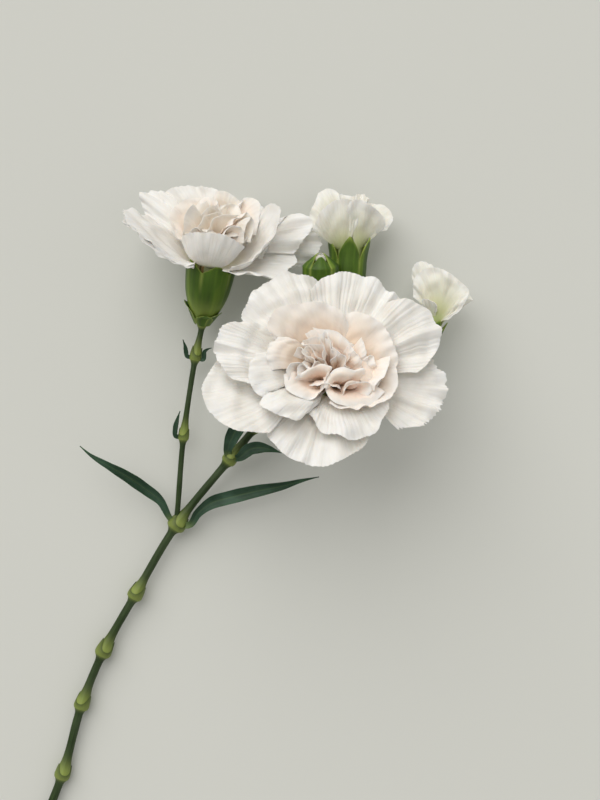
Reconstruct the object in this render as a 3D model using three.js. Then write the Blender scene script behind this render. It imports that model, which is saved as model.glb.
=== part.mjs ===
// A cut spray carnation lying on a table: one jointed stem with five blooms at different stages.
// Millimetres. +X is to the right, +Y runs from the cut end towards the blooms, +Z is up from the table.
// The origin is on the table, at the middle of the whole spray's footprint.
import * as THREE from "three";

const { degToRad, lerp, smoothstep } = THREE.MathUtils;
const vec = (x, y, z) => new THREE.Vector3(x, y, z);

// ---- Driving dimensions -------------------------------------------------------------------

const CLEARANCE = 0.3; // gap kept between neighbouring pieces
const BELOW_FORK = 125; // length of the main stem from its cut end to the fork
const STEM_RADIUS = 1.35; // main stem between its joints, at the cut end
const STEM_TIP_RADIUS = 1.15; // main stem where it meets its own bloom
const JOINT_SWELL = 1.05; // how far a joint of the main stem stands out
const PEDICEL_RADIUS = 0.85; // the thin side stalks
const PEDICEL_SWELL = 0.75; // how far a joint or a receptacle stands out on them
const STEM_SIDES = 10;
const PETAL_THICKNESS = 0.5;
const LEAF_THICKNESS = 0.6;
const CALYX_WALL = 0.7;
const CALYX_FLOOR = 2.0; // solid receptacle at the bottom of each calyx
const TEETH = 5; // every calyx has five teeth
const PISTIL = { radius: 0.6, length: 15, bottom: -12 }; // seed vessel and style in the front bloom

const SKIN = { roughness: 0.55, metalness: 0 };
const material = (color, extra = {}) =>
  new THREE.MeshStandardMaterial({ color, ...SKIN, side: THREE.DoubleSide, ...extra });
const stemGreen = material(0x4a6329);
const calyxGreen = material(0x5f8a2a);
const leafGreen = material(0x345643, { roughness: 0.6 });
const petalWhite = material(0xf1eeea, { roughness: 0.7 });
const petalCream = material(0xecdfd3, { roughness: 0.7 });
const pistilCream = material(0xe4dcb8);

// ---- Closed solids from grids of points ----------------------------------------------------

// Joins triangles, given as point numbers, into one closed mesh. Triangles without area are left out.
function meshOf(name, points, triangles, skin) {
  const geometry = new THREE.BufferGeometry().setFromPoints(points);
  geometry.setIndex(triangles.filter(([a, b, c]) => a !== b && b !== c && a !== c).flat());
  geometry.computeVertexNormals();
  const mesh = new THREE.Mesh(geometry, skin);
  mesh.name = name;
  return mesh;
}

const quad = (a, b, c, d) => [[a, b, c], [a, c, d]];

// A thin sheet of even thickness on the surface at(u, v), with u and v from 0 to 1.
function sheetSolid(name, at, rows, columns, thickness, skin) {
  const front = [];
  const back = [];
  const step = 1e-3;
  for (let i = 0; i <= rows; i++) {
    for (let j = 0; j <= columns; j++) {
      const [u, v] = [i / rows, j / columns];
      const along = at(Math.min(1, u + step), v).sub(at(Math.max(0, u - step), v));
      const across = at(u, Math.min(1, v + step)).sub(at(u, Math.max(0, v - step)));
      const normal = along.cross(across).normalize().multiplyScalar(thickness / 2);
      front.push(at(u, v).add(normal));
      back.push(at(u, v).sub(normal));
    }
  }
  const below = front.length;
  const index = (i, j) => i * (columns + 1) + j;
  const faces = [];
  for (let i = 0; i < rows; i++) {
    for (let j = 0; j < columns; j++) {
      const [a, b, c, d] = [index(i, j), index(i + 1, j), index(i + 1, j + 1), index(i, j + 1)];
      faces.push(...quad(a, b, c, d), ...quad(below + a, below + d, below + c, below + b));
    }
  }
  const edge = (a, b) => faces.push(...quad(a, below + a, below + b, b));
  for (let i = 0; i < rows; i++) {
    edge(index(i, 0), index(i + 1, 0));
    edge(index(i + 1, columns), index(i, columns));
  }
  for (let j = 0; j < columns; j++) {
    edge(index(0, j + 1), index(0, j));
    edge(index(rows, j), index(rows, j + 1));
  }
  return meshOf(name, [...front, ...back], faces, skin);
}

// Rings of equal size stacked into a closed skin; the first and last ring close onto their own middle.
function ringSolid(name, rings, skin) {
  const sides = rings[0].length;
  const middle = (ring) => ring.reduce((sum, p) => sum.add(p), vec(0, 0, 0)).divideScalar(sides);
  const points = [...rings.flat(), middle(rings[0]), middle(rings.at(-1))];
  const [foot, top] = [points.length - 2, points.length - 1];
  const faces = [];
  const last = (rings.length - 1) * sides;
  for (let j = 0; j < sides; j++) {
    const next = (j + 1) % sides;
    for (let i = 0; i < last; i += sides) faces.push(...quad(i + j, i + next, i + sides + next, i + sides + j));
    faces.push([foot, next, j], [top, last + j, last + next]);
  }
  return meshOf(name, points, faces, skin);
}

// ---- Stems ---------------------------------------------------------------------------------

// How far a joint swells the stem at a distance past it: it ends sharply below and tapers away above.
const BELOW = 1.5;
const ABOVE = 4.2;
const swelling = (past) => Math.exp(-((past / (past < 0 ? BELOW : ABOVE)) ** 2));
const NEAR_JOINT = [-3, -1.6, -0.7, 0, 1.6, 3.6, 7];

// A stalk through its joints. joints lists the numbers of the points that carry a swelling, with its size.
function stemSolid(name, { points, radii, joints = {} }) {
  const curve = new THREE.CatmullRomCurve3(points, false, "centripetal");
  curve.arcLengthDivisions = 400;
  const length = curve.getLength();
  const placeOf = (k) => {
    const share = k / (points.length - 1);
    return curve.getLengths(400)[Math.round(share * 400)];
  };
  const places = Object.entries(joints).map(([k, size]) => ({ at: placeOf(Number(k)), size }));
  const stations = points.map((_, k) => placeOf(k));
  places.forEach(({ at }) => NEAR_JOINT.forEach((past) => stations.push(at + past)));
  const kept = stations.filter((s) => s >= 0 && s <= length).sort((a, b) => a - b);
  const spaced = kept.filter((s, i) => i === 0 || s - kept[i - 1] > 0.25);
  const radiusAt = (s) =>
    lerp(radii[0], radii[1], s / length) +
    places.reduce((sum, joint) => sum + joint.size * swelling(s - joint.at), 0);

  let side = vec(0, 0, 1);
  const rings = spaced.map((s) => {
    const middle = curve.getPointAt(s / length);
    const along = curve.getTangentAt(s / length);
    side = side.clone().addScaledVector(along, -side.dot(along)).normalize();
    const other = along.clone().cross(side);
    return Array.from({ length: STEM_SIDES }, (_, j) => {
      const turn = (2 * Math.PI * j) / STEM_SIDES;
      const out = side.clone().multiplyScalar(Math.cos(turn)).addScaledVector(other, Math.sin(turn));
      return middle.clone().addScaledVector(out, radiusAt(s));
    });
  });
  return ringSolid(name, rings, stemGreen);
}

// ---- Leaves and bracts ---------------------------------------------------------------------

// A narrow channelled blade along its midrib, upper side up. width is its widest, keel how deep its channel is.
// root says beside which joint of its stalk it starts, and foot how wide it is there, as a share of width.
function leafSolid(name, { root, points, width, keel, foot = 0.45, stalk = STEM_RADIUS }) {
  const { joint, next, swell, past = 0, round } = root;
  const core = stalk + swell * swelling(past);
  const start = beside(joint, next, { past, round, core, half: (foot * width) / 2 });
  const midrib = new THREE.CatmullRomCurve3([start, ...points], false, "centripetal");
  const at = (u, v) => {
    const along = midrib.getTangentAt(u);
    const across = along.clone().cross(vec(0, 0, 1)).normalize();
    const up = across.clone().cross(along);
    const taper = lerp(foot, 1, smoothstep(u, 0, 0.4)) * (1 - smoothstep(u, 0.45, 1.04)) ** 0.8;
    const half = (width / 2) * Math.max(taper, 0.08);
    const side = 2 * v - 1;
    return midrib
      .getPointAt(u)
      .addScaledVector(across, side * half)
      .addScaledVector(up, (keel * side * side * half) / (width / 2));
  };
  return sheetSolid(name, at, 10, 2, LEAF_THICKNESS, leafGreen);
}

// ---- Blooms --------------------------------------------------------------------------------

// A calyx: a cup of five fused sepals whose free tips stand above its mouth. Its own origin is the
// middle of the mouth, its +Z the bloom's axis. teeth is how far the tips reach, lean how far they
// bend out (or in, below zero).
function calyxSolid(name, { depth, mouth, belly, base, teeth, lean }) {
  const around = TEETH * 4;
  const outline = (share) => {
    const swell = Math.sin(Math.min(1, share * 1.6) * (Math.PI / 2));
    return lerp(base, lerp(belly, mouth, smoothstep(share, 0.35, 1)), swell);
  };
  const toothAt = (turn) => Math.abs(((turn * TEETH) % 1) * 2 - 1);
  const ringAt = (share, above, inset) =>
    Array.from({ length: around }, (_, j) => {
      const turn = j / around;
      const rise = above * teeth * toothAt(turn);
      const radius = outline(share) - inset + lean * (rise / teeth);
      const z = lerp(-depth + (inset > 0 ? CALYX_FLOOR : 0), 0, share) + rise;
      return vec(radius * Math.cos(2 * Math.PI * turn), radius * Math.sin(2 * Math.PI * turn), z);
    });
  const heights = [0, 0.1, 0.25, 0.5, 0.8];
  const outside = [...heights.map((h) => ringAt(h, 0, 0)), ringAt(1, 0.08, 0), ringAt(1, 1, 0)];
  const inside = [ringAt(1, 1, CALYX_WALL), ringAt(1, 0.08, CALYX_WALL)];
  const down = heights.slice(1).reverse();
  inside.push(...down.map((h) => ringAt(h, 0, CALYX_WALL)));
  return ringSolid(name, [...outside, ...inside], calyxGreen);
}

// A petal rises from its foot inside the calyx, bends outwards and spreads into a fan.
// turn: direction round the bloom. reach: length of the blade. half: half the fan's angle.
// open: how far it leans from the bloom's axis. curl: how much further its margin rolls out.
// foot: radius of its ring inside the calyx. bend: height above the mouth where it starts to lean.
// wave: how far its margin ripples, waves times round the bloom. claw: half the width of its foot.
function petalSurface({ turn, reach, half, open, curl = 8, round = 0.3, skew = 0.8, cup = 0 }, whorl) {
  const { foot, depth = 6, bend, wave = 0.8, waves = 7, claw = 1.5, hinge = 7 } = whorl;
  const straight = depth + bend;
  const total = straight + reach;
  const steps = 60;
  const line = [{ r: foot, z: -depth, lean: 0 }];
  for (let k = 1; k <= steps; k++) {
    const s = ((k - 0.5) / steps) * total - straight;
    const lean = degToRad(open * smoothstep(s, 0, hinge) + curl * smoothstep(s, reach * 0.55, reach));
    const before = line[k - 1];
    const step = total / steps;
    line.push({ r: before.r + Math.sin(lean) * step, z: before.z + Math.cos(lean) * step, lean });
  }
  return (u, v) => {
    const side = 2 * v - 1;
    const margin = 1 - round * side ** 2 * (reach / total);
    const place = Math.min(steps - 1e-6, u * margin * steps);
    const [low, share] = [Math.floor(place), place % 1];
    const r = lerp(line[low].r, line[low + 1].r, share);
    const z = lerp(line[low].z, line[low + 1].z, share);
    const lean = lerp(line[low].lean, line[low + 1].lean, share);
    const out = Math.max(0, (place / steps) * total - straight) / reach;
    const fan = lerp(claw / foot, degToRad(half), smoothstep(out, 0, 0.7) ** 0.8);
    const angle = degToRad(turn) + side * fan;
    const ripple = wave * out ** 2 * Math.cos(waves * angle + foot);
    const raise = skew * side * smoothstep(out, 0, 0.3) + cup * side ** 2 * out + ripple;
    const radius = r - Math.cos(lean) * raise;
    return vec(radius * Math.cos(angle), radius * Math.sin(angle), z + Math.sin(lean) * raise);
  };
}

// A bloom is a group at the middle of its calyx mouth, with +Z along its axis and +X to the right.
function bloomGroup(mouth, axis) {
  const n = axis.clone().normalize();
  const x = vec(1, 0, 0).addScaledVector(n, -n.x).normalize();
  const group = new THREE.Group();
  group.quaternion.setFromRotationMatrix(new THREE.Matrix4().makeBasis(x, n.clone().cross(x), n));
  group.position.copy(mouth);
  return group;
}

// The ring that a whorl's feet stand in: inward is 0 against the calyx wall and 1 against the pistil.
function footRing(calyx, inward) {
  const flat = Math.cos(Math.PI / (TEETH * 4));
  const besideWall = (calyx.belly - CALYX_WALL) * flat - CLEARANCE - PETAL_THICKNESS / 2;
  const besidePistil = PISTIL.radius + CLEARANCE + PETAL_THICKNESS / 2;
  return lerp(besideWall, besidePistil, inward);
}

function addWhorl(group, bloom, layer, whorl, calyx, skin) {
  whorl.petals.forEach((petal, k) => {
    const name = `${bloom}_${layer}_petal_${k + 1}`;
    const surface = petalSurface(petal, { ...whorl, foot: footRing(calyx, whorl.inward) });
    group.add(sheetSolid(name, surface, 7, 6, PETAL_THICKNESS, skin));
  });
}

const footOf = (mouth, axis, depth) => mouth.clone().addScaledVector(axis.clone().normalize(), -depth);

// ---- The five blooms -----------------------------------------------------------------------

const front = {
  mouth: vec(8, 4.4, 36.5),
  axis: vec(0.2, 0.42, 0.885),
  calyx: { depth: 20, mouth: 7.6, belly: 6.8, base: 2.2, teeth: 3.2, lean: 0.4 },
};
const side = {
  mouth: vec(-26.9, 40.3, 17.3),
  axis: vec(0.17, 0.88, 0.43),
  calyx: { depth: 18.6, mouth: 7.2, belly: 6.6, base: 2.2, teeth: 3.2, lean: 0.2 },
};
const opening = {
  mouth: vec(14.7, 42.2, 13),
  axis: vec(0.04, 0.99, 0.08),
  calyx: { depth: 17, mouth: 5.7, belly: 5.4, base: 2.0, teeth: 6.5, lean: 0.8 },
};
const bud = {
  mouth: vec(6.2, 40, 21.4),
  axis: vec(-0.02, 0.95, 0.3),
  calyx: { depth: 14, mouth: 4.6, belly: 5.4, base: 1.9, teeth: 4.4, lean: -1.3 },
};
const young = {
  mouth: vec(39.8, 21.6, 12),
  axis: vec(0.4, 0.9, 0.14),
  calyx: { depth: 14, mouth: 4.4, belly: 4.2, base: 1.7, teeth: 4.0, lean: 0.2 },
};

const blooms = {
  front_bloom: {
    ...front,
    whorls: {
      guard: {
        inward: 0, bend: 1.2, wave: 1.0,
        petals: [
          { turn: 121, reach: 30, half: 34, open: 84 },
          { turn: 205, reach: 36, half: 37, open: 84 },
          { turn: 262, reach: 26, half: 36, open: 84 },
          { turn: 345, reach: 31, half: 36, open: 82 },
        ],
      },
      second: {
        inward: 0.25, bend: 2.6, wave: 0.8,
        petals: [
          { turn: 78, reach: 29, half: 36, open: 74 },
          { turn: 165, reach: 33, half: 34, open: 74 },
          { turn: 300, reach: 27, half: 36, open: 78 },
          { turn: 26, reach: 32, half: 32, open: 72 },
        ],
      },
      middle: {
        inward: 0.5, bend: 4.2, wave: 0.5, claw: 1.3,
        petals: [
          { turn: 105, reach: 20, half: 38, open: 58 },
          { turn: 42, reach: 19, half: 36, open: 56 },
          { turn: 175, reach: 24, half: 36, open: 62 },
          { turn: 244, reach: 24, half: 36, open: 72 },
          { turn: 320, reach: 21, half: 38, open: 64 },
        ],
      },
      inner: {
        inward: 0.75, bend: 5.6, wave: 0.3, claw: 1.1,
        petals: [
          { turn: 75, reach: 15, half: 44, open: 40, curl: -10 },
          { turn: 160, reach: 14, half: 44, open: 42, curl: -10 },
          { turn: 255, reach: 14, half: 44, open: 44, curl: -10 },
          { turn: 345, reach: 15, half: 44, open: 46, curl: -10 },
        ],
      },
      heart: {
        inward: 1, bend: 6.6, wave: 0.2, claw: 0.9, hinge: 5,
        petals: [
          { turn: 40, reach: 8.5, half: 46, open: 20, curl: -8, skew: 0.5 },
          { turn: 160, reach: 8.5, half: 46, open: 20, curl: -8, skew: 0.5 },
          { turn: 280, reach: 8.5, half: 46, open: 20, curl: -8, skew: 0.5 },
        ],
      },
    },
  },
  side_bloom: {
    ...side,
    whorls: {
      guard: {
        inward: 0, bend: 1.0, wave: 0.8,
        petals: [
          { turn: 196, reach: 28, half: 35, open: 66 },
          { turn: 342, reach: 26.5, half: 30, open: 82 },
          { turn: 60, reach: 26, half: 35, open: 66 },
          { turn: 125, reach: 26, half: 30, open: 66 },
        ],
      },
      second: {
        inward: 0.26, bend: 2.6, wave: 0.6,
        petals: [
          { turn: 160, reach: 25, half: 35, open: 58 },
          { turn: 5, reach: 26, half: 38, open: 62 },
          { turn: 92, reach: 23, half: 34, open: 56 },
        ],
      },
      middle: {
        inward: 0.52, bend: 4.0, wave: 0.4, claw: 1.3,
        petals: [
          { turn: 262, reach: 17, half: 55, open: 26, curl: 0 },
          { turn: 335, reach: 20, half: 40, open: 44 },
          { turn: 140, reach: 18, half: 50, open: 44 },
        ],
      },
      inner: {
        inward: 0.78, bend: 5.2, wave: 0.3, claw: 1.1,
        petals: [
          { turn: 235, reach: 12, half: 50, open: 16, curl: -4 },
          { turn: 355, reach: 12, half: 48, open: 14, curl: -4 },
          { turn: 115, reach: 14, half: 50, open: 24, curl: -8 },
        ],
      },
    },
  },
  opening_bloom: {
    ...opening,
    whorls: {
      guard: {
        inward: 0, bend: 4.5, wave: 0.4, claw: 1.8,
        petals: [
          { turn: 255, reach: 19, half: 50, open: 22, curl: -4 },
          { turn: 355, reach: 19, half: 46, open: 36, curl: 14 },
          { turn: 130, reach: 20, half: 50, open: 38 },
        ],
      },
      inner: {
        inward: 0.37, bend: 5.6, wave: 0.3, claw: 1.4,
        petals: [
          { turn: 200, reach: 17, half: 46, open: 20 },
          { turn: 60, reach: 16, half: 45, open: 18, curl: -4 },
        ],
      },
    },
  },
  young_bloom: {
    ...young,
    whorls: {
      guard: {
        inward: 0, bend: 2.8, wave: 0.4, claw: 1.3, hinge: 5,
        petals: [
          { turn: 275, reach: 17, half: 52, open: 30 },
          { turn: 145, reach: 18, half: 48, open: 40 },
          { turn: 20, reach: 15, half: 45, open: 30 },
        ],
      },
    },
  },
  bud: {
    ...bud,
    whorls: {
      tip: {
        inward: 0.73, bend: 1.4, wave: 0.1, claw: 1.3, hinge: 5,
        petals: [{ turn: 270, reach: 2.8, half: 62, open: 6, curl: 0, skew: 0.2 }],
      },
    },
  },
};

// ---- Stems and leaves ----------------------------------------------------------------------

// A point clear of a stalk, a little past one of its joints. round is the way out from the stalk, in
// degrees: 0 to its left, 90 up, 180 to its right. core is the stalk's radius there, half the radius or
// half width of what starts there.
function beside(joint, next, { past = 0, round, core, half }) {
  const along = next.clone().sub(joint).normalize();
  const left = vec(-along.y, along.x, 0).normalize();
  const out = left.multiplyScalar(Math.cos(degToRad(round))).add(vec(0, 0, Math.sin(degToRad(round))));
  return joint.clone().addScaledVector(along, past).addScaledVector(out, core + CLEARANCE + half);
}

const stalkEnd = (bloom) => {
  const foot = footOf(bloom.mouth, bloom.axis, bloom.calyx.depth + CLEARANCE);
  const before = footOf(foot, bloom.axis, 2.4);
  return [before, foot];
};

const fork = vec(-38.7, -39.3, 4.4);
const upperJoint = vec(-22.1, -18.7, 6);
const sprayJoint = vec(7.7, 16.9, 9);
const [stalkJoint, bractJoint] = [vec(-36.1, -11.5, 7), vec(-32.3, 13.0, 8.6)];
const FORK_SWELL = JOINT_SWELL * 1.5;
const BRACT_SWELL = PEDICEL_SWELL * 1.2;

// The lower stem: how far each joint lies left of the fork and below it, as shares of the length below
// the fork, and its height above the table.
const lowerStem = [
  [0.406, 0.913, 1.8],
  [0.362, 0.81, 2.5],
  [0.286, 0.625, 2.8],
  [0.237, 0.45, 3.1],
  [0.183, 0.317, 3.4],
  [0.103, 0.174, 3.8],
].map(([left, below, height]) => vec(fork.x - left * BELOW_FORK, fork.y - below * BELOW_FORK, height));

const stemCore = (swell, past) => STEM_RADIUS + swell * swelling(past);
const stalkFoot = beside(fork, upperJoint, {
  past: 4.6, round: 16, core: stemCore(FORK_SWELL, 4.6), half: PEDICEL_RADIUS,
});

const stems = {
  main_stem: {
    points: [
      ...lowerStem,
      fork,
      upperJoint,
      vec(-14, -8.7, 7),
      vec(-3.1, 4.6, 8),
      sprayJoint,
      ...stalkEnd(opening),
    ],
    radii: [STEM_RADIUS, STEM_TIP_RADIUS],
    joints: {
      1: JOINT_SWELL, 2: JOINT_SWELL, 3: JOINT_SWELL, 4: JOINT_SWELL * 1.2, 5: JOINT_SWELL,
      6: FORK_SWELL, 7: JOINT_SWELL, 8: PEDICEL_SWELL, 9: PEDICEL_SWELL, 10: PEDICEL_SWELL, 12: PEDICEL_SWELL,
    },
  },
  side_stalk: {
    points: [stalkFoot, stalkJoint, bractJoint, ...stalkEnd(side)],
    radii: [PEDICEL_RADIUS, PEDICEL_RADIUS],
    joints: { 1: PEDICEL_SWELL, 2: BRACT_SWELL, 4: PEDICEL_SWELL },
  },
  front_stalk: {
    points: [vec(-10.9, -8.9, 8.4), vec(-6, -8.6, 9.4), vec(-1, -8.2, 10.6), ...stalkEnd(front)],
    radii: [PEDICEL_RADIUS * 1.15, PEDICEL_RADIUS * 1.15],
    joints: { 4: PEDICEL_SWELL },
  },
  bud_stalk: {
    points: [vec(7.6, 18.8, 12.4), vec(7.2, 21.4, 13.8), ...stalkEnd(bud)],
    radii: [PEDICEL_RADIUS, PEDICEL_RADIUS],
    joints: { 3: PEDICEL_SWELL * 0.8 },
  },
  young_stalk: {
    points: [vec(0.8, 4.9, 6.4), vec(10, 4.2, 6.2), vec(22, 3.6, 6.6), vec(32, 5.4, 8.2), ...stalkEnd(young)],
    radii: [PEDICEL_RADIUS, PEDICEL_RADIUS],
    joints: { 5: PEDICEL_SWELL * 0.6 },
  },
};

const leaves = {
  fork_leaf_left: {
    points: [
      vec(-43.2, -31.2, 7.4), vec(-47.6, -27.4, 9),
      vec(-52.9, -23.5, 11), vec(-58.3, -20.2, 12.6), vec(-63.8, -16.8, 13.6), vec(-67, -14, 14),
    ],
    root: { joint: fork, next: upperJoint, swell: FORK_SWELL, past: 1.2, round: 22 },
    width: 4.4, keel: 0.7,
  },
  fork_leaf_right: {
    points: [
      vec(-31.7, -35.2, 6.2), vec(-27.3, -31.8, 7.2), vec(-21.8, -30.1, 8.2),
      vec(-13.5, -28.1, 8.6), vec(-5.2, -26.5, 8.2), vec(0.4, -25, 7.2), vec(5.9, -23.9, 6),
    ],
    root: { joint: fork, next: upperJoint, swell: FORK_SWELL, past: 3.5, round: 163 },
    width: 4.6, keel: 0.8,
  },
  upper_leaf_left: {
    points: [
      vec(-20.8, -11.4, 11.2), vec(-18.6, -7.6, 13.2), vec(-16.4, -3.2, 14.8),
      vec(-14.6, 1.6, 15.6), vec(-13.4, 6, 15.6),
    ],
    root: { joint: upperJoint, next: sprayJoint, swell: JOINT_SWELL, past: 2.5, round: 48 },
    width: 4.6, keel: 0.9,
  },
  upper_leaf_right: {
    points: [
      vec(-15.6, -15.2, 9.2), vec(-12.8, -14.6, 10), vec(-9.6, -15, 10.4), vec(-5.7, -16.3, 10.2),
    ],
    root: { joint: upperJoint, next: sprayJoint, swell: JOINT_SWELL, past: 3.2, round: 131 },
    width: 3.8, keel: 0.7, foot: 0.45,
  },
  stalk_bract_lower: {
    points: [vec(-38.5, -8.6, 8), vec(-37.8, -5.8, 8.2), vec(-37, -3.4, 8.4)],
    root: { joint: stalkJoint, next: bractJoint, swell: PEDICEL_SWELL, round: 18 },
    width: 1.5, keel: 0.2, foot: 0.8, stalk: PEDICEL_RADIUS,
  },
  stalk_bract_left: {
    points: [vec(-35.1, 14.9, 9.4), vec(-35.4, 16.8, 9.8), vec(-36, 18.6, 10)],
    root: { joint: bractJoint, next: side.mouth, swell: BRACT_SWELL, round: 12 },
    width: 1.3, keel: 0.2, foot: 0.8, stalk: PEDICEL_RADIUS,
  },
  stalk_bract_right: {
    points: [vec(-29.4, 14.8, 9.4), vec(-28.4, 15.6, 9.6), vec(-27.2, 16, 9.6)],
    root: { joint: bractJoint, next: side.mouth, swell: BRACT_SWELL, round: 170 },
    width: 1.3, keel: 0.2, foot: 0.8, stalk: PEDICEL_RADIUS,
  },
};

// The seed vessel with its style, in the middle of the front bloom.
function pistilSolid(name) {
  const shares = [0, 0.12, 0.3, 0.45, 0.7, 1];
  const rings = shares.map((share) => {
    const radius = lerp(PISTIL.radius * 0.5, PISTIL.radius, Math.sin(Math.PI * Math.min(1, share * 1.4)) ** 2);
    return Array.from({ length: 8 }, (_, j) => {
      const turn = (2 * Math.PI * j) / 8;
      const z = PISTIL.bottom + share * PISTIL.length;
      return vec(radius * Math.cos(turn), radius * Math.sin(turn), z);
    });
  });
  return ringSolid(name, rings, pistilCream);
}

// ---- Assembly ------------------------------------------------------------------------------

const CREAM_LAYERS = ["middle", "inner", "heart"];
const spray = new THREE.Group();
Object.entries(stems).forEach(([name, stem]) => spray.add(stemSolid(name, stem)));
Object.entries(leaves).forEach(([name, leaf]) => spray.add(leafSolid(name, leaf)));
Object.entries(blooms).forEach(([name, bloom]) => {
  const group = bloomGroup(bloom.mouth, bloom.axis);
  group.add(calyxSolid(`${name}_calyx`, bloom.calyx));
  if (name === "front_bloom") group.add(pistilSolid(`${name}_pistil`));
  Object.entries(bloom.whorls).forEach(([layer, whorl]) =>
    addWhorl(group, name, layer, whorl, bloom.calyx, CREAM_LAYERS.includes(layer) ? petalCream : petalWhite));
  spray.add(group);
});

// Stand the spray on z = 0 with the origin under the middle of its box.
spray.updateMatrixWorld(true);
const box = new THREE.Box3().setFromObject(spray, true);
const middle = box.getCenter(vec(0, 0, 0));
spray.position.set(-middle.x, -middle.y, -box.min.z);

const part = new THREE.Group();
part.add(spray);
export default part;
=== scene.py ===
import math
import bpy
import numpy as np
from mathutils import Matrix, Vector


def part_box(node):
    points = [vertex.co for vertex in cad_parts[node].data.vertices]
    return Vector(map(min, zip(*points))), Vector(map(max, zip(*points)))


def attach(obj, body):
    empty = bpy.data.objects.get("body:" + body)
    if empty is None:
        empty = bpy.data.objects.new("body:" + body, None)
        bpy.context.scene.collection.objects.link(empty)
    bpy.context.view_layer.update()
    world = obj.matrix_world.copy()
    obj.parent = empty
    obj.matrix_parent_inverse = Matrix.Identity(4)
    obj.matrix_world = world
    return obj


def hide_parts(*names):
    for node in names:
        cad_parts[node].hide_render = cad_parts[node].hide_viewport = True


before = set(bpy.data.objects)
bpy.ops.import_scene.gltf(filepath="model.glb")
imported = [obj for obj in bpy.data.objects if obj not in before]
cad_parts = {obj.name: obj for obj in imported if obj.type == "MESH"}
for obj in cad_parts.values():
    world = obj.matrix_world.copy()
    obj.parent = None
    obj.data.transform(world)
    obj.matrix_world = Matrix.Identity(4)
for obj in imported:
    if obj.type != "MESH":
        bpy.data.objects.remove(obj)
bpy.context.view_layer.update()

# A cut spray carnation lying on a table. Sizes are in millimetres, in the part's own layout: x to the
# right, y from the cut end towards the blooms, z up from the table. One shift carries them to the row frame.
millimetre = 0.001
print("frame loaded:", len(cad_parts), "nodes")


# Small maths, all on whole arrays

def smoothStep(x, low, high):  # 0 below low, 1 above high, an even S between
    t = np.clip((np.asarray(x, float) - low) / (high - low), 0, 1)
    return t * t * (3 - 2 * t)


def lerp(a, b, share):
    return a + (b - a) * share


def unit(v):
    v = np.asarray(v, float)
    return v / np.maximum(np.linalg.norm(v, axis=-1, keepdims=True), 1e-9)


def seededBy(name):  # the same random numbers for the same piece, every run
    return np.random.default_rng(list(name.encode()))


# A smooth random line along t: cosines of seeded phase with low to high waves over its length, summed to
# about 1.
def randomLine(rng, t, low, high, count=5):
    waves = np.linspace(low, high, count) * rng.uniform(0.85, 1.15, count)
    phase = rng.uniform(0, 2 * np.pi, count)
    size = rng.uniform(0.5, 1, count)
    t = np.asarray(t, float)
    total = sum(s * np.cos(2 * np.pi * w * t + p) for s, w, p in zip(size, waves, phase))
    return total / size.sum() * 1.6


# Soft crumpling over x and y in millimetres: waves of seeded heading, phase and length, summed to about 1.
def crumpling(rng, x, y, short, long, count=10):
    heading = rng.uniform(0, np.pi, count)
    turns = 2 * np.pi / rng.uniform(short, long, count)
    phase = rng.uniform(0, 2 * np.pi, count)
    waves = (np.cos(k * (x * np.cos(h) + y * np.sin(h)) + p) for k, h, p in zip(turns, heading, phase))
    return sum(waves) / math.sqrt(count / 2)


def interpolated(s, at, places):  # the points at distances s along a line of known places at distances at
    return np.stack([np.interp(s, at, places[:, k]) for k in range(3)], axis=-1)


# A centripetal curve through points, read at even steps: the places, the directions, how far along each
# place is, and how far along each of the given points is.
def pathThrough(points, count):
    p = np.asarray(points, float)
    p = np.vstack([2 * p[0] - p[1], p, 2 * p[-1] - p[-2]])
    a, b, c, d = p[:-3], p[1:-2], p[2:-1], p[3:]
    ga, gb, gc = (np.linalg.norm(q - o, axis=1, keepdims=True) ** 0.5 for o, q in ((a, b), (b, c), (c, d)))
    leave = ((b - a) / ga - (c - a) / (ga + gb) + (c - b) / gb) * gb
    arrive = ((c - b) / gb - (d - b) / (gb + gc) + (d - c) / gc) * gb
    perSpan = 60
    t = (np.arange(perSpan) / perSpan)[None, :, None]
    b, c, leave, arrive = (w[:, None, :] for w in (b, c, leave, arrive))
    fine = ((2 * t**3 - 3 * t**2 + 1) * b + (t**3 - 2 * t**2 + t) * leave
            + (3 * t**2 - 2 * t**3) * c + (t**3 - t**2) * arrive)
    fine = np.vstack([fine.reshape(-1, 3), p[-2]])
    along = np.concatenate([[0], np.cumsum(np.linalg.norm(np.diff(fine, axis=0), axis=1))])
    knots = along[::perSpan]
    at = np.linspace(0, along[-1], count)
    places = interpolated(at, along, fine)
    return places, unit(np.gradient(places, axis=0)), at, knots


# Meshes

placeShift = np.zeros(3)  # set below, once the main stem's place is known
sharpAngle = 60  # degrees between two faces past which their edge shows


# Puts points and faces into a mesh object at the origin. uvs holds one pair for each face corner, and
# marks one value for each point under each name.
def meshPiece(name, points, faces, uvs, marks):
    mesh = bpy.data.meshes.new(name)
    places = (points + placeShift) * millimetre
    mesh.from_pydata(places.tolist(), [], faces)
    mesh.uv_layers.new(name="surface").data.foreach_set("uv", np.asarray(uvs, np.float32).ravel())
    for mark, values in marks.items():
        attribute = mesh.attributes.new(mark, "FLOAT", "POINT")
        attribute.data.foreach_set("value", values.astype(np.float32).ravel())
    mesh.polygons.foreach_set("use_smooth", [True] * len(mesh.polygons))
    mesh.set_sharp_from_angle(angle=math.radians(sharpAngle))
    piece = bpy.data.objects.new(name, mesh)
    bpy.context.scene.collection.objects.link(piece)
    return piece


def gridCorners(rows, columns):  # the four corners of each square of a grid, as row and column numbers
    i, j = np.meshgrid(np.arange(rows), np.arange(columns), indexing="ij")
    i, j = i.ravel(), j.ravel()
    return np.stack([i, i + 1, i + 1, i], axis=1), np.stack([j, j, j + 1, j + 1], axis=1)


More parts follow.
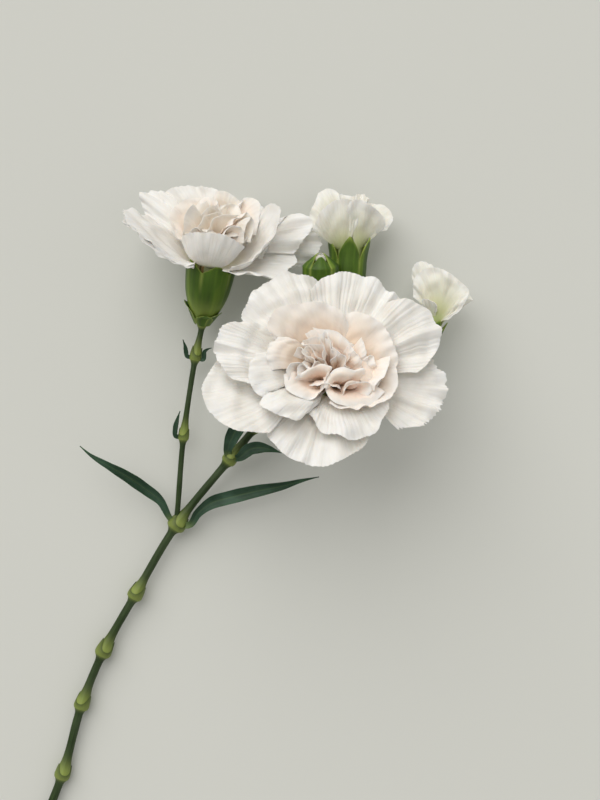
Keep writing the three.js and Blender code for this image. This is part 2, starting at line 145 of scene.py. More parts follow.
# A closed thin shell on a grid of points: two faces, each half the thickness from the middle surface,
# joined round the four edges.
def shellPiece(name, middle, thickness, uv, marks=None):
    rows, columns = middle.shape[0] - 1, middle.shape[1] - 1
    normal = unit(np.cross(np.gradient(middle, axis=0), np.gradient(middle, axis=1)))
    half = normal * np.asarray(thickness)[..., None] / 2
    points = np.concatenate([(middle + half).reshape(-1, 3), (middle - half).reshape(-1, 3)])
    ci, cj = gridCorners(rows, columns)
    number = lambda i, j: i * (columns + 1) + j
    below = (rows + 1) * (columns + 1)
    front = number(ci, cj)
    back = front[:, ::-1] + below
    i, j = np.arange(rows), np.arange(columns)
    starts = np.concatenate([number(i, 0), number(i + 1, columns), number(0, j + 1), number(rows, j)])
    ends = np.concatenate([number(i + 1, 0), number(i, columns), number(0, j), number(rows, j + 1)])
    rim = np.stack([starts, starts + below, ends + below, ends], axis=1)
    faces = np.concatenate([front, back, rim])
    flat = np.broadcast_to(uv, middle.shape[:2] + (2,)).reshape(-1, 2)
    doubled = {mark: np.tile(np.broadcast_to(v, middle.shape[:2]).ravel(), 2)
               for mark, v in (marks or {}).items()}
    return meshPiece(name, points, faces.tolist(), flat[faces % below], doubled)


def mapPlaces(across, along):  # the map place of each point of a grid
    return np.stack(np.broadcast_arrays(across, along), axis=-1)


# A closed skin of rings: each row is one ring, the first and last ring close onto their own middle.
def skinPiece(name, rings, along, marks):
    rows, sides = rings.shape[0] - 1, rings.shape[1]
    ci, cj = gridCorners(rows, sides)
    faces = (ci * sides + cj % sides)[:, ::-1]
    points = np.concatenate([rings.reshape(-1, 3), rings[:1].mean(axis=1), rings[-1:].mean(axis=1)])
    foot, top = len(points) - 2, len(points) - 1
    j = np.arange(sides)
    k = (j + 1) % sides
    footFan = np.stack([np.full(sides, foot), k, j], axis=1)
    topFan = np.stack([np.full(sides, top), rows * sides + j, rows * sides + k], axis=1)
    uv = np.stack([cj / sides, along[ci]], axis=-1)[:, ::-1]
    footUv = np.stack([j, j + 1, j], axis=1).ravel() / sides
    topUv = np.stack([j, j, j + 1], axis=1).ravel() / sides
    fans = [mapPlaces(u, end) for u, end in ((footUv, along[0]), (topUv, along[-1]))]
    uvs = np.concatenate([uv.reshape(-1, 2), *fans])
    allFaces = faces.tolist() + footFan.tolist() + topFan.tolist()
    full = {}
    for mark, v in marks.items():
        v = np.broadcast_to(v, rings.shape[:2])
        full[mark] = np.concatenate([v.ravel(), [v[0].mean(), v[-1].mean()]])
    return meshPiece(name, points, allFaces, uvs, full)


# Materials

def linear(hexColour):  # sRGB hex to linear
    value = np.array([int(hexColour[i:i + 2], 16) / 255 for i in (1, 3, 5)])
    out = np.where(value <= 0.04045, value / 12.92, ((value + 0.055) / 1.055) ** 2.4)
    return (*out.tolist(), 1.0)


# Adds a node: settings go on the node, values on its sockets, links join sockets to it, stops fill a ramp.
def addNode(tree, kind, settings=None, values=None, links=None, stops=()):
    node = tree.nodes.new("ShaderNode" + kind)
    for key, value in (settings or {}).items():
        setattr(node, key, value)
    for key, value in (values or {}).items():
        node.inputs[key].default_value = value
    for key, socket in (links or {}).items():
        tree.links.new(socket, node.inputs[key])
    if stops:
        ramp = node.color_ramp.elements
        while len(ramp) < len(stops):
            ramp.new(1)
        for element, (place, colour) in zip(ramp, stops):
            element.position, element.color = place, linear(colour)
    return node


def newMaterial(name):
    material = bpy.data.materials.new(name)
    material.use_nodes = True
    tree = material.node_tree
    tree.nodes.clear()
    return material, tree


def finishMaterial(tree, values, links):  # the shader and its output
    shader = addNode(tree, "BsdfPrincipled", values=values, links=links)
    addNode(tree, "OutputMaterial", links={"Surface": shader.outputs["BSDF"]})


def noise(tree, places, scale, detail):  # soft random spots; the other helpers give a socket too
    return addNode(tree, "TexNoise", values={"Scale": scale, "Detail": detail}, links={0: places}).outputs[0]


def coloured(tree, value, stops):  # a colour for each value
    return addNode(tree, "ValToRGB", links={0: value}, stops=stops).outputs[0]


def ranged(tree, value, toLow, toHigh, low=0.0, high=1.0):  # carries low to high onto toLow to toHigh
    limits = {1: low, 2: high, 3: toLow, 4: toHigh}
    return addNode(tree, "MapRange", values=limits, links={0: value}).outputs[0]


def raised(tree, height, strength, distance, normal=None):  # a surface raised by up to a distance in metres
    links = {"Height": height} if normal is None else {"Height": height, "Normal": normal}
    return addNode(tree, "Bump", values={"Strength": strength, "Distance": distance}, links=links).outputs[0]


# Living petal tissue: one soft layer of rounded cells full of air gaps, so it is matt, lets light through and
# shows fine fanned veins. The colour runs from its green claw to its pale margin; the tan low on the cream
# and heart petals is painted shade of the deep cup and folds, over their own claw colour.
uvUnit = 40.0  # millimetres in one step of a petal's map, across
veinGap = 0.9  # millimetres between veins at the margin, drawn a little coarser than life
veinBreaks = 1.6  # how often a vein fades along a petal
mottleShare = 0.35  # how much of its soft patches shows
petalTones = {
    "whitePetalTissue": {
        "stops": [(0.16, "#b9c487"), (0.27, "#e3e2cb"), (0.45, "#efede8"), (1, "#f8f7f5")], "streak": 0.15,
        "ridge": 0.00045},
    # Cream cup petals: the tan in the middle of the petal is painted shade for the hollow of the cup; the
    # claw and pale margin are their own colour.
    "creamPetalTissue": {
        "stops": [(0.16, "#c9c795"), (0.3, "#d8c4a6"), (0.55, "#e5d2be"), (0.8, "#f0e4d9"), (1, "#fbf6f1")],
        "streak": 0.05, "ridge": 0.00018},
    # Heart petals: the dark yellow-tan low on the petal is partly their own claw colour and partly painted
    # shade in the deep folds.
    "heartPetalTissue": {
        "stops": [(0.1, "#ab8f4c"), (0.28, "#eccdae"), (0.5, "#fae3d4"), (0.84, "#fdf0e6"), (1, "#fffcf8")],
        "streak": 0.04, "ridge": 0.00015},
    "paleHeartPetalTissue": {
        "stops": [(0.1, "#b3a468"), (0.3, "#e0ceab"), (0.55, "#f3e8da"), (0.86, "#f8f1e8"), (1, "#fdf9f3")],
        "streak": 0.04, "ridge": 0.00015},
    "youngPetalTissue": {
        "stops": [(0.15, "#a9bb6c"), (0.35, "#cfd3a8"), (0.6, "#e6e6d6"), (0.85, "#f2f2ea"), (1, "#fbfaf6")],
        "streak": 0.16, "ridge": 0.0003},
}


def petalMaterial(name, tone):
    material, tree = newMaterial(name)
    uv = addNode(tree, "UVMap", {"uv_map": "surface"}).outputs[0]
    along = addNode(tree, "SeparateXYZ", links={0: uv}).outputs[1]
    fan = addNode(tree, "Mapping", values={"Scale": (uvUnit / veinGap, veinBreaks, 1.0)}, links={0: uv})
    veins = noise(tree, fan.outputs[0], 1.0, 2.0)
    body = addNode(tree, "TexCoord").outputs["Object"]
    mottle, cells = noise(tree, body, 160.0, 3.0), noise(tree, body, 2600.0, 2.0)
    base = coloured(tree, along, tone["stops"])
    streak = coloured(tree, veins, [(0.35, "#d9d3c6"), (0.62, "#ffffff")])
    patch = coloured(tree, mottle, [(0.3, "#ece6dc"), (0.6, "#ffffff")])
    multiply = {"data_type": "RGBA", "blend_type": "MULTIPLY"}
    veined = addNode(tree, "Mix", multiply, {0: tone["streak"]}, {6: base, 7: streak})
    colour = addNode(tree, "Mix", multiply, {0: mottleShare}, {6: veined.outputs[2], 7: patch})
    outwards = ranged(tree, along, 0.1, 0.6, 0.3, 0.8)
    ridges = addNode(tree, "Bump", values={"Distance": tone["ridge"]},
                     links={"Height": veins, "Strength": outwards})
    skin = raised(tree, cells, 0.25, 0.00008, ridges.outputs[0])
    finishMaterial(tree, {
        "Subsurface Weight": 0.35, "Subsurface Radius": (1.0, 0.82, 0.66), "Subsurface Scale": 0.0005,
        "IOR": 1.4, "Specular IOR Level": 0.35, "Sheen Weight": 0.12, "Sheen Roughness": 0.5,
    }, {"Base Color": colour.outputs[2], "Roughness": ranged(tree, mottle, 0.5, 0.68), "Normal": skin})
    return material


# Waxy green skin of stems, leaves and calyces: a smooth cuticle over long cells, with fine lengthwise
# ribs and a grey bloom of wax that dulls the gloss in patches.
greenSkins = {
    "stemCuticle": {
        "stops": [(0.3, "#1d2d11"), (0.6, "#2c401a"), (0.8, "#405725")], "bloom": "#566748",
        "bloomShare": 0.28, "pale": "#a3b35a", "ribs": 26.0, "lengthwise": 3.0,
        "roughness": (0.38, 0.6), "light": 0.12},
    "calyxCuticle": {
        "stops": [(0.3, "#2c460b"), (0.52, "#476613"), (0.75, "#7b9430")], "bloom": "#6f8a3c",
        "bloomShare": 0.2, "pale": "#a9b85a", "ribs": 14.0, "lengthwise": 0.8,
        "roughness": (0.35, 0.55), "light": 0.25},
    "leafCuticle": {
        "stops": [(0.3, "#182f1f"), (0.6, "#23402b"), (0.85, "#31523a")], "bloom": "#5a7a66",
        "bloomShare": 0.35, "pale": "#8fa560", "ribs": 9.0, "lengthwise": 1.0,
        "roughness": (0.42, 0.62), "light": 0.12},
}


def greenMaterial(name, skin):
    material, tree = newMaterial(name)
    uv = addNode(tree, "UVMap", {"uv_map": "surface"})
    stretch = addNode(tree, "Mapping", values={"Scale": (skin["ribs"], skin["lengthwise"], 1.0)},
                      links={0: uv.outputs[0]})
    ribs = noise(tree, stretch.outputs[0], 1.0, 3.0)
    body = addNode(tree, "TexCoord").outputs["Object"]
    patches, grain = noise(tree, body, 120.0, 4.0), noise(tree, body, 1800.0, 2.0)
    pale = addNode(tree, "Attribute", {"attribute_name": "pale"})
    base = coloured(tree, ribs, skin["stops"])
    waxy = ranged(tree, patches, 0.0, skin["bloomShare"], 0.42, 0.7)
    bloomed = addNode(tree, "Mix", {"data_type": "RGBA"}, {7: linear(skin["bloom"])}, {0: waxy, 6: base})
    colour = addNode(tree, "Mix", {"data_type": "RGBA"}, {7: linear(skin["pale"])},
                     {0: pale.outputs["Fac"], 6: bloomed.outputs[2]})
    grained = raised(tree, grain, 0.2, 0.0001, raised(tree, ribs, 0.5, 0.00025))
    finishMaterial(tree, {
        "Subsurface Weight": skin["light"], "Subsurface Radius": (0.5, 1.0, 0.25), "Subsurface Scale": 0.001,
        "IOR": 1.42, "Specular IOR Level": 0.4,
    }, {"Base Color": colour.outputs[2], "Roughness": ranged(tree, patches, *skin["roughness"]),
        "Normal": grained})
    return material


def pistilMaterial():  # moist pale tissue of the seed vessel, smooth with faint lengthwise streaks
    material, tree = newMaterial("pistilTissue")
    streaks = noise(tree, addNode(tree, "TexCoord").outputs["Object"], 900.0, 2.0)
    colour = coloured(tree, streaks, [(0.35, "#b9c07a"), (0.7, "#ebe4c2")])
    finishMaterial(tree, {"Roughness": 0.42, "IOR": 1.4, "Subsurface Weight": 0.2, "Subsurface Scale": 0.001},
                   {"Base Color": colour, "Normal": raised(tree, streaks, 0.3, 0.0001)})
    return material


materials = {name: petalMaterial(name, tone) for name, tone in petalTones.items()}
materials.update({name: greenMaterial(name, skin) for name, skin in greenSkins.items()})
materials["pistilTissue"] = pistilMaterial()
print("materials made:", len(materials))


def dress(piece, skin, *nodes):  # gives a piece its material, its body and the nodes it stands for
    piece.data.materials.append(materials[skin])
    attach(piece, "root")
    if nodes:
        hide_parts(*nodes)


# Blooms: where each calyx mouth is, which way the bloom looks, and its calyx

blooms = {
    "front_bloom": {
        "mouth": (8, 4.4, 36.5), "axis": (0.2, 0.42, 0.885),
        "calyx": {"depth": 20, "mouth": 7.6, "belly": 6.8, "base": 2.2, "teeth": 3.2, "lean": 0.4}},
    "side_bloom": {
        "mouth": (-26.9, 40.3, 17.3), "axis": (0.17, 0.88, 0.43),
        "calyx": {"depth": 18.6, "mouth": 7.5, "belly": 6.5, "base": 2.2, "teeth": 3.2, "lean": -0.3}},
    "opening_bloom": {
        "mouth": (14.7, 42.2, 13), "axis": (0.04, 0.99, 0.08),
        "calyx": {"depth": 17, "mouth": 5.7, "belly": 5.4, "base": 2.0, "teeth": 7.5, "lean": 1.0,
                  "phase": -18, "point": 0.62}},
    "bud": {
        "mouth": (6.2, 40, 21.4), "axis": (-0.02, 0.95, 0.3),
        "calyx": {"depth": 14, "mouth": 5.5, "belly": 5.7, "base": 1.9, "teeth": 4.0, "lean": -4.5,
                  "phase": -18, "point": 0.4}},
    "young_bloom": {
        "mouth": (39.8, 21.6, 12), "axis": (0.4, 0.9, 0.14),
        "calyx": {"depth": 14, "mouth": 3.9, "belly": 3.8, "base": 1.7, "teeth": 4.0, "lean": 0.2}},
}


# A bloom's own axes as rows: right, up the flower's face, and out along the flower.
def bloomAxes(bloom):
    out = unit(bloom["axis"])
    right = unit(np.array([1, 0, 0]) - out[0] * out)
    return np.stack([right, np.cross(out, right), out])


def fromBloom(bloom, local):  # points in a bloom's own axes, measured from its mouth, to the layout
    return np.asarray(bloom["mouth"]) + local @ bloomAxes(bloom)


# Stems

stemSizes = {
    "belowFork": 125, "radius": 1.35, "tipRadius": 1.15, "swell": 1.05, "stalkRadius": 0.85,
    "stalkSwell": 0.75, "clearance": 0.3, "swellBelow": 1.5, "swellAbove": 4.2, "sides": 28,
    "footLength": 2.4,
}


def swelling(past):  # how a joint swells its stem: sharply below it and tapering away above
    reach = np.where(past < 0, stemSizes["swellBelow"], stemSizes["swellAbove"])
    return np.exp(-((past / reach) ** 2))


# A point clear of a stalk, past one of its joints. round is the way out: 0 left, 90 up, 180 right.
def besideStalk(joint, following, past, around, core, half):
    along = unit(np.subtract(following, joint))
    left = unit(np.array([-along[1], along[0], 0]))
    out = left * math.cos(math.radians(around)) + np.array([0, 0, 1]) * math.sin(math.radians(around))
    return np.asarray(joint) + along * past + out * (core + stemSizes["clearance"] + half)


def stalkEnd(bloom):  # the last two points of a bloom's stalk, just under its calyx
    out = unit(bloom["axis"])
    foot = np.asarray(bloom["mouth"]) - out * (bloom["calyx"]["depth"] + stemSizes["clearance"])
    return [foot - out * stemSizes["footLength"], foot]


fork, upperJoint, sprayJoint = (-38.7, -39.3, 4.4), (-22.1, -18.7, 6), (7.7, 16.9, 9)
stalkJoint, bractJoint = (-36.1, -11.5, 7), (-32.3, 13.0, 8.6)
forkSwell, bractSwell = stemSizes["swell"] * 1.5, stemSizes["stalkSwell"] * 1.2

# How far each lower joint lies left of the fork and below it, as shares of the length below the fork, and
# its height
lowerStem = [
    (0.406, 0.913, 1.8), (0.362, 0.81, 2.5), (0.286, 0.625, 2.8),
    (0.237, 0.45, 3.1), (0.183, 0.317, 3.4), (0.103, 0.174, 3.8),
]
lowerPoints = [(fork[0] - left * stemSizes["belowFork"], fork[1] - below * stemSizes["belowFork"], height)
               for left, below, height in lowerStem]
thin, swell, small = stemSizes["stalkRadius"], stemSizes["swell"], stemSizes["stalkSwell"]
stalkPast, stalkAround = 4.6, 16  # how far past the fork the side stalk leaves the stem, and which way out
stalkFoot = besideStalk(fork, upperJoint, stalkPast, stalkAround,
                        stemSizes["radius"] + forkSwell * float(swelling(stalkPast)), thin)
stems = {
    "main_stem": {
        "points": [*lowerPoints, fork, upperJoint, (-14, -8.7, 7), (-3.1, 4.6, 8), sprayJoint,
                   *stalkEnd(blooms["opening_bloom"])],
        "radii": (stemSizes["radius"], stemSizes["tipRadius"]),
        "joints": {1: swell, 2: swell, 3: swell, 4: swell * 1.2, 5: swell, 6: forkSwell, 7: swell,
                   8: small, 9: small, 10: small, 12: small},
        "sheaths": {1: 0.9, 2: 0.9, 3: 1.0, 4: 1.1, 5: 1.0, 6: 1.0, 7: 0.9}},
    "side_stalk": {
        "points": [fork, stalkFoot, stalkJoint, bractJoint, *stalkEnd(blooms["side_bloom"])],
        "radii": (thin, thin), "joints": {2: small, 3: bractSwell, 5: small}, "sheaths": {2: 0.7, 3: 0.9}},
    "front_stalk": {
        "points": [(-14, -8.7, 7), (-10.9, -8.9, 8.4), (-6, -8.6, 9.4), (-1, -8.2, 10.6),
                   *stalkEnd(blooms["front_bloom"])],
        "radii": (thin * 1.15, thin * 1.15), "joints": {5: small}, "sheaths": {}},
    "bud_stalk": {
        "points": [sprayJoint, (7.6, 18.8, 12.4), (7.2, 21.4, 13.8), *stalkEnd(blooms["bud"])],
        "radii": (thin, thin), "joints": {4: small * 0.8}, "sheaths": {}},
    "young_stalk": {
        "points": [(-3.1, 4.6, 8), (0.8, 4.9, 6.4), (10, 4.2, 6.2), (22, 3.6, 6.6), (32, 5.4, 8.2),
                   *stalkEnd(blooms["young_bloom"])],
        "radii": (thin, thin), "joints": {6: small * 0.6}, "sheaths": {}},
}


stemStep = 0.45  # millimetres between two rings of a stalk


# A stalk: rings carried along a curve, swollen at its joints, a little ridged and uneven along its length.
def stemRings(stem, name):
    length = pathThrough(stem["points"], 2)[2][-1]
    places, along, at, knots = pathThrough(stem["points"], int(length / stemStep) + 2)
    swells = {k: swelling(at - knots[k]) for k in stem["joints"]}
    radius = lerp(stem["radii"][0], stem["radii"][1], at / at[-1])
    radius = radius + sum(size * swells[k] for k, size in stem["joints"].items())
    rng = seededBy(name)
    radius = radius * (1 + 0.02 * randomLine(rng, at / 30, 1, 4))
    turn = np.linspace(0, 2 * np.pi, stemSizes["sides"], endpoint=False)[None, :]
    up = unit(np.array([0, 0, 1]) - along * along[:, 2:])
    other = np.cross(along, up)
    ridged = radius[:, None] * (1 + 0.025 * np.cos(6 * turn + 0.5 * np.sin(at / 9)[:, None]))
    rings = places[:, None] + ridged[..., None] * (up[:, None] * np.cos(turn)[..., None]
                                                   + other[:, None] * np.sin(turn)[..., None])
    pale = np.clip(sum(np.where(at > knots[k], swells[k], swells[k] ** 2) for k in stem["joints"]), 0, 1)
    return {"rings": rings, "pale": pale, "at": at, "knots": knots, "places": places, "up": up,
            "other": other, "radius": radius}


mainRings = stemRings(stems["main_stem"], "main_stem")["rings"].reshape(-1, 3)
low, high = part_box("main_stem")
placeShift = np.array((low + high) / 2) / millimetre - (mainRings.min(axis=0) + mainRings.max(axis=0)) / 2

# What is left of a pair of leaves at a joint: a short cup round the stem with two pointed tips
sheathForm = {"length": 4.0, "below": 0.8, "gap": 0.02, "flare": 0.12, "wall": 0.13, "rows": 12,
              "columns": 48}


# Its radius is the stem's plus a gap and a flare that grows upwards; its height is the length times a
# share that is 1 at the two tips and a quarter between them.
def addSheath(name, stem, knot, size, turned):
    f, line = sheathForm, stemRings(stem, name)
    share = np.linspace(0, 1, f["rows"] + 1)[:, None]
    turn = np.linspace(0, 2 * np.pi, f["columns"] + 1)[None, :]
    tips = lerp(0.22, 1, np.abs(np.cos(turn + turned)) ** 3)
    past = -f["below"] + share * (f["length"] * size * tips + f["below"])
    s = line["knots"][knot] + past
    core = np.interp(s, line["at"], line["radius"])
    centre, way, side = (interpolated(s, line["at"], line[field]) for field in ("places", "up", "other"))
    way, side = unit(way), unit(side)
    out = core + f["gap"] + f["wall"] / 2 + f["flare"] * size * share**2 * tips
    middle = centre + out[..., None] * (way * np.cos(turn)[..., None] + side * np.sin(turn)[..., None])
    thickness = f["wall"] * (1 - 0.55 * share) * np.ones_like(turn)
    uv = mapPlaces(turn / (2 * np.pi), share * 0.2)
    paleness = np.clip(0.6 - 0.45 * share, 0, 1) * np.ones_like(turn)
    dress(shellPiece(name, middle, thickness, uv, {"pale": paleness}), "stemCuticle")


mapLength = 20  # millimetres of a stalk in one step of its map
paleJoint = 0.75  # how pale a joint is at its widest
pairTurn, pairTwist = 0.5 * np.pi, 0.35  # how the old pairs of leaves stood, turned a little to and fro
for name, stem in stems.items():
    line = stemRings(stem, name)
    pale = paleJoint * line["pale"][:, None]
    skin = skinPiece(name + "_skin", line["rings"], line["at"] / mapLength, {"pale": pale})
    dress(skin, "stemCuticle", name)
    for count, (knot, size) in enumerate(stem["sheaths"].items()):
        addSheath(f"{name}_sheath_{count + 1}", stem, knot, size, pairTurn + pairTwist * (-1) ** count)
print("stems made")


# Leaves: each runs along its midrib from beside a joint of its stalk

leafSkin = {"rooted": 0.35, "wall": 0.5, "rim": 0.2, "rows": 60, "columns": 16, "vein": 0.12, "twist": 0.12,
            "channel": 1.15, "mapWidth": 9.2, "paleFoot": 0.55, "paleVein": 0.12}
leaves = {
    "fork_leaf_left": {
        "points": [(-43.2, -31.2, 7.4), (-47.6, -27.4, 9), (-52.9, -23.5, 11), (-58.3, -20.2, 12.6),
                   (-63.8, -16.8, 13.6), (-67, -14, 14)],
        "root": (fork, upperJoint, forkSwell, 1.2, 22), "width": 3.5, "keel": 0.7},
    "fork_leaf_right": {
        "points": [(-31.7, -35.2, 6.2), (-27.3, -31.8, 7.2), (-21.8, -30.1, 8.2), (-13.5, -28.1, 8.6),
                   (-5.2, -26.5, 8.2), (0.4, -25, 7.2), (5.9, -23.9, 6)],
        "root": (fork, upperJoint, forkSwell, 3.5, 163), "width": 4.1, "keel": 0.8},
    "upper_leaf_left": {
        "points": [(-20.8, -11.4, 11.2), (-18.6, -7.6, 13.2), (-16.4, -3.2, 14.8), (-14.6, 1.6, 15.6),
                   (-13.4, 6, 15.6)],
        "root": (upperJoint, sprayJoint, swell, 2.5, 48), "width": 4.6, "keel": 0.9},
    "upper_leaf_right": {
        "points": [(-15.6, -15.2, 9.2), (-12.8, -14.6, 10), (-9.6, -15, 10.4), (-5.7, -16.3, 10.2)],
        "root": (upperJoint, sprayJoint, swell, 3.2, 131), "width": 3.8, "keel": 0.7},
    "stalk_bract_lower": {
        "points": [(-38.5, -8.6, 8), (-37.8, -5.8, 8.2), (-37, -3.4, 8.4)],
        "root": (stalkJoint, bractJoint, small, 0, 18),
        "width": 1.5, "keel": 0.2, "foot": 0.8, "stalk": thin},
    "stalk_bract_left": {
        "points": [(-35.1, 14.9, 9.4), (-35.4, 16.8, 9.8), (-36, 18.6, 10)],
        "root": (bractJoint, blooms["side_bloom"]["mouth"], bractSwell, 0, 12),
        "width": 1.3, "keel": 0.2, "foot": 0.8, "stalk": thin},
    "stalk_bract_right": {
        "points": [(-29.4, 14.8, 9.4), (-28.4, 15.6, 9.6), (-27.2, 16, 9.6)],
        "root": (bractJoint, blooms["side_bloom"]["mouth"], bractSwell, 0, 170),
        "width": 1.3, "keel": 0.2, "foot": 0.8, "stalk": thin},
}


# A leaf: across its midrib it is as wide as its taper says, raised by the square of the way to its edge
# so that it makes a channel, with a keel line under the midrib and a slow twist.
def addLeaf(name, leaf):
    f = leafSkin
    joint, following, size, past, around = leaf["root"]
    stalk, foot = leaf.get("stalk", stemSizes["radius"]), leaf.get("foot", 0.45)
    core = stalk + size * float(swelling(past))
    start = besideStalk(joint, following, past, around, core, foot * leaf["width"] / 2)
    inside = lerp(np.asarray(joint), start, f["rooted"])
    places, along, at = pathThrough([inside, start, *leaf["points"]], f["rows"] + 1)[:3]
    u = (at / at[-1])[:, None]
    side = np.linspace(-1, 1, f["columns"] + 1)[None, :]
    across = unit(np.cross(along, [0, 0, 1]))
    up = np.cross(across, along)
    taper = lerp(foot, 1, smoothStep(u, 0, 0.4)) * (1 - smoothStep(u, 0.45, 1.04)) ** 0.8
    half = leaf["width"] / 2 * np.maximum(taper, 0.05)
    rng = seededBy(name)
    edge = half * (1 + 0.04 * randomLine(rng, u + 0 * side, 2, 6))
    lift = leaf["keel"] * side**2 * half / (leaf["width"] / 2) * f["channel"]
    lift = lift - f["vein"] * np.exp(-((side / 0.12) ** 2)) * (1 - u) + f["twist"] * side * np.sin(5 * u)
    middle = places[:, None] + (side * edge)[..., None] * across[:, None] + lift[..., None] * up[:, None]
    thickness = lerp(f["wall"], f["rim"], np.maximum(np.abs(side), u**2)) * np.ones_like(lift)
    uv = mapPlaces(side * leaf["width"] / f["mapWidth"] + 0.5, u)
    pale = f["paleFoot"] * (1 - smoothStep(u, 0, 0.12)) + f["paleVein"] * np.exp(-((side / 0.1) ** 2))
    dress(shellPiece(name + "_blade", middle, thickness, uv, {"pale": pale}), "leafCuticle", name)


for name, leaf in leaves.items():
    addLeaf(name, leaf)
print("leaves made")


# Calyces

calyxSkin = {
    "wall": 0.7, "tip": 0.25, "floor": 2.0, "teeth": 5, "around": 160, "rows": 30, "toothRows": 14,
    "groove": 0.14, "rib": 0.015, "ribs": 35, "keel": 0.06,
}
calyxPale = {"edge": 0.5, "brow": 0.45, "tip": 0.36, "foot": 0.5, "belly": 0.4, "inside": 0.7}


def calyxOutline(c, share):  # a rounded belly that opens to the mouth
    rounded = np.sin(np.minimum(1, share * 1.6) * np.pi / 2)
    return lerp(c["base"], lerp(c["belly"], c["mouth"], smoothStep(share, 0.35, 1)), rounded)


# A calyx: a cup of five fused sepals. Its skin runs up the outside, over the five teeth and down the inside
# to its floor. The outside has a groove below each notch and fine ribs, and the teeth thin towards their
# tips. Its colour is palest along the notches, at the teeth's tips and low on the belly.
def addCalyx(name, bloom):
    c, f = bloom["calyx"], calyxSkin
    turn = np.linspace(0, 2 * np.pi, f["around"], endpoint=False)[None, :]
    sepal = ((turn - math.radians(c.get("phase", 0))) / (2 * np.pi) * f["teeth"]) % 1
    tooth = np.abs(sepal * 2 - 1)
    pointed = tooth ** c.get("point", 1.0)
    shares = np.concatenate([np.linspace(0, 1, f["rows"]), np.ones(f["toothRows"])])[:, None]
    above = np.concatenate([np.zeros(f["rows"]), np.linspace(0.02, 1, f["toothRows"])])[:, None]
    rise = above * c["teeth"] * pointed
    lean = c["lean"] * above**1.4 * pointed
    radius = calyxOutline(c, shares) + lean
    furrow = f["groove"] * np.exp(-((tooth / 0.12) ** 2)) * smoothStep(shares, 0.35, 0.95)
    ribs = f["rib"] * np.cos(turn * f["ribs"]) * smoothStep(shares, 0.05, 0.3) * (1 - above)
    keel = f["keel"] * np.exp(-(((1 - tooth) / 0.1) ** 2)) * smoothStep(shares, 0.5, 1)
    outer = radius - furrow + ribs + keel
    outerZ = lerp(-c["depth"], 0, shares) + rise
    wall = lerp(f["wall"], f["tip"], np.maximum(above * pointed, above * 0.6))
    inner = (radius - wall)[:0:-1]
    innerZ = (lerp(-c["depth"] + f["floor"], 0, shares) + rise)[:0:-1]
    r, z = np.concatenate([outer, inner]), np.concatenate([outerZ, innerZ])
    local = np.stack([r * np.cos(turn), r * np.sin(turn), z], axis=-1)
    edge = smoothStep(1 - np.minimum(1, tooth / 0.2), 0, 1) * smoothStep(shares, 0.55, 1)
    brow = smoothStep(above, 0.72, 1) * smoothStep(tooth, 0.75, 1)
    belly = np.exp(-(((shares - 0.25) / 0.22) ** 2))
    tones = {"edge": edge, "brow": brow, "tip": smoothStep(above, 0.8, 1),
             "foot": 1 - smoothStep(shares, 0, 0.18), "belly": belly}
    paleOut = np.clip(sum(calyxPale[place] * tone for place, tone in tones.items()), 0, 1)
    pale = np.concatenate([paleOut, np.full((len(inner), len(turn[0])), calyxPale["inside"])])
    along = np.concatenate([np.linspace(0, 1, len(outer)), np.linspace(1, 0.3, len(inner))])
    skin = skinPiece(name + "_calyx_skin", fromBloom(bloom, local), along, {"pale": pale})
    dress(skin, "calyxCuticle", name + "_calyx")


# Scale bracts pressed against a calyx's foot: turn is where each sits, reach how far up it goes
scaleBracts = {
    "front_bloom": [(20, 8.2), (110, 7.6), (200, 8.2), (290, 7.6)],
    "side_bloom": [(188, 6.8), (278, 4.6), (330, 5.4), (98, 6.8)],
    "opening_bloom": [(10, 6.4), (100, 5.8), (190, 6.4), (280, 5.8)],
    "bud": [(30, 6.0), (120, 5.6), (210, 6.0), (300, 5.6)],
    "young_bloom": [(10, 5.6), (100, 5.0), (190, 5.6), (280, 5.0)],
}
bractForm = {"half": 44, "wall": 0.3, "rim": 0.12, "gap": 0.22, "rows": 22, "columns": 24, "tip": 0.5}


# A scale bract: it lies a gap outside the calyx, is widest a third of the way up, and narrows to a point
# that stands off.
def addBract(name, bloom, turn, reach):
    c, f = bloom["calyx"], bractForm
    u = np.linspace(0, 1, f["rows"] + 1)[:, None]
    side = np.linspace(-1, 1, f["columns"] + 1)[None, :]
    width = np.sqrt(np.clip(1 - ((u - 0.3) / 0.72) ** 2, 0.002, 1)) * (1 - 0.4 * smoothStep(u, 0.6, 1))
    angle = math.radians(turn) + np.radians(f["half"]) * side * width
    z = -c["depth"] - 0.1 + u * reach
    stand = f["tip"] * smoothStep(u, 0.7, 1) + 0.1 * side**2
    r = calyxOutline(c, np.clip((z + c["depth"]) / c["depth"], 0, 1)) + f["gap"] + f["wall"] / 2 + stand
    middle = np.stack([r * np.cos(angle), r * np.sin(angle), z + 0 * side], axis=-1)
    thickness = lerp(f["wall"], f["rim"], np.maximum(np.abs(side), u)) * np.ones_like(angle)
    uv = mapPlaces(side * 0.08 + 0.5, u * 0.4)
    pale = 0.5 * np.abs(side) ** 4 + 0 * u
    middle = fromBloom(bloom, middle)[:, ::-1]
    dress(shellPiece(name, middle, thickness[:, ::-1], uv[:, ::-1], {"pale": pale[:, ::-1]}), "calyxCuticle")


for name, bloom in blooms.items():
    addCalyx(name, bloom)
    for count, (turn, reach) in enumerate(scaleBracts[name]):
        addBract(f"{name}_scale_bract_{count + 1}", bloom, turn, reach)
print("calyces made")


# Petals

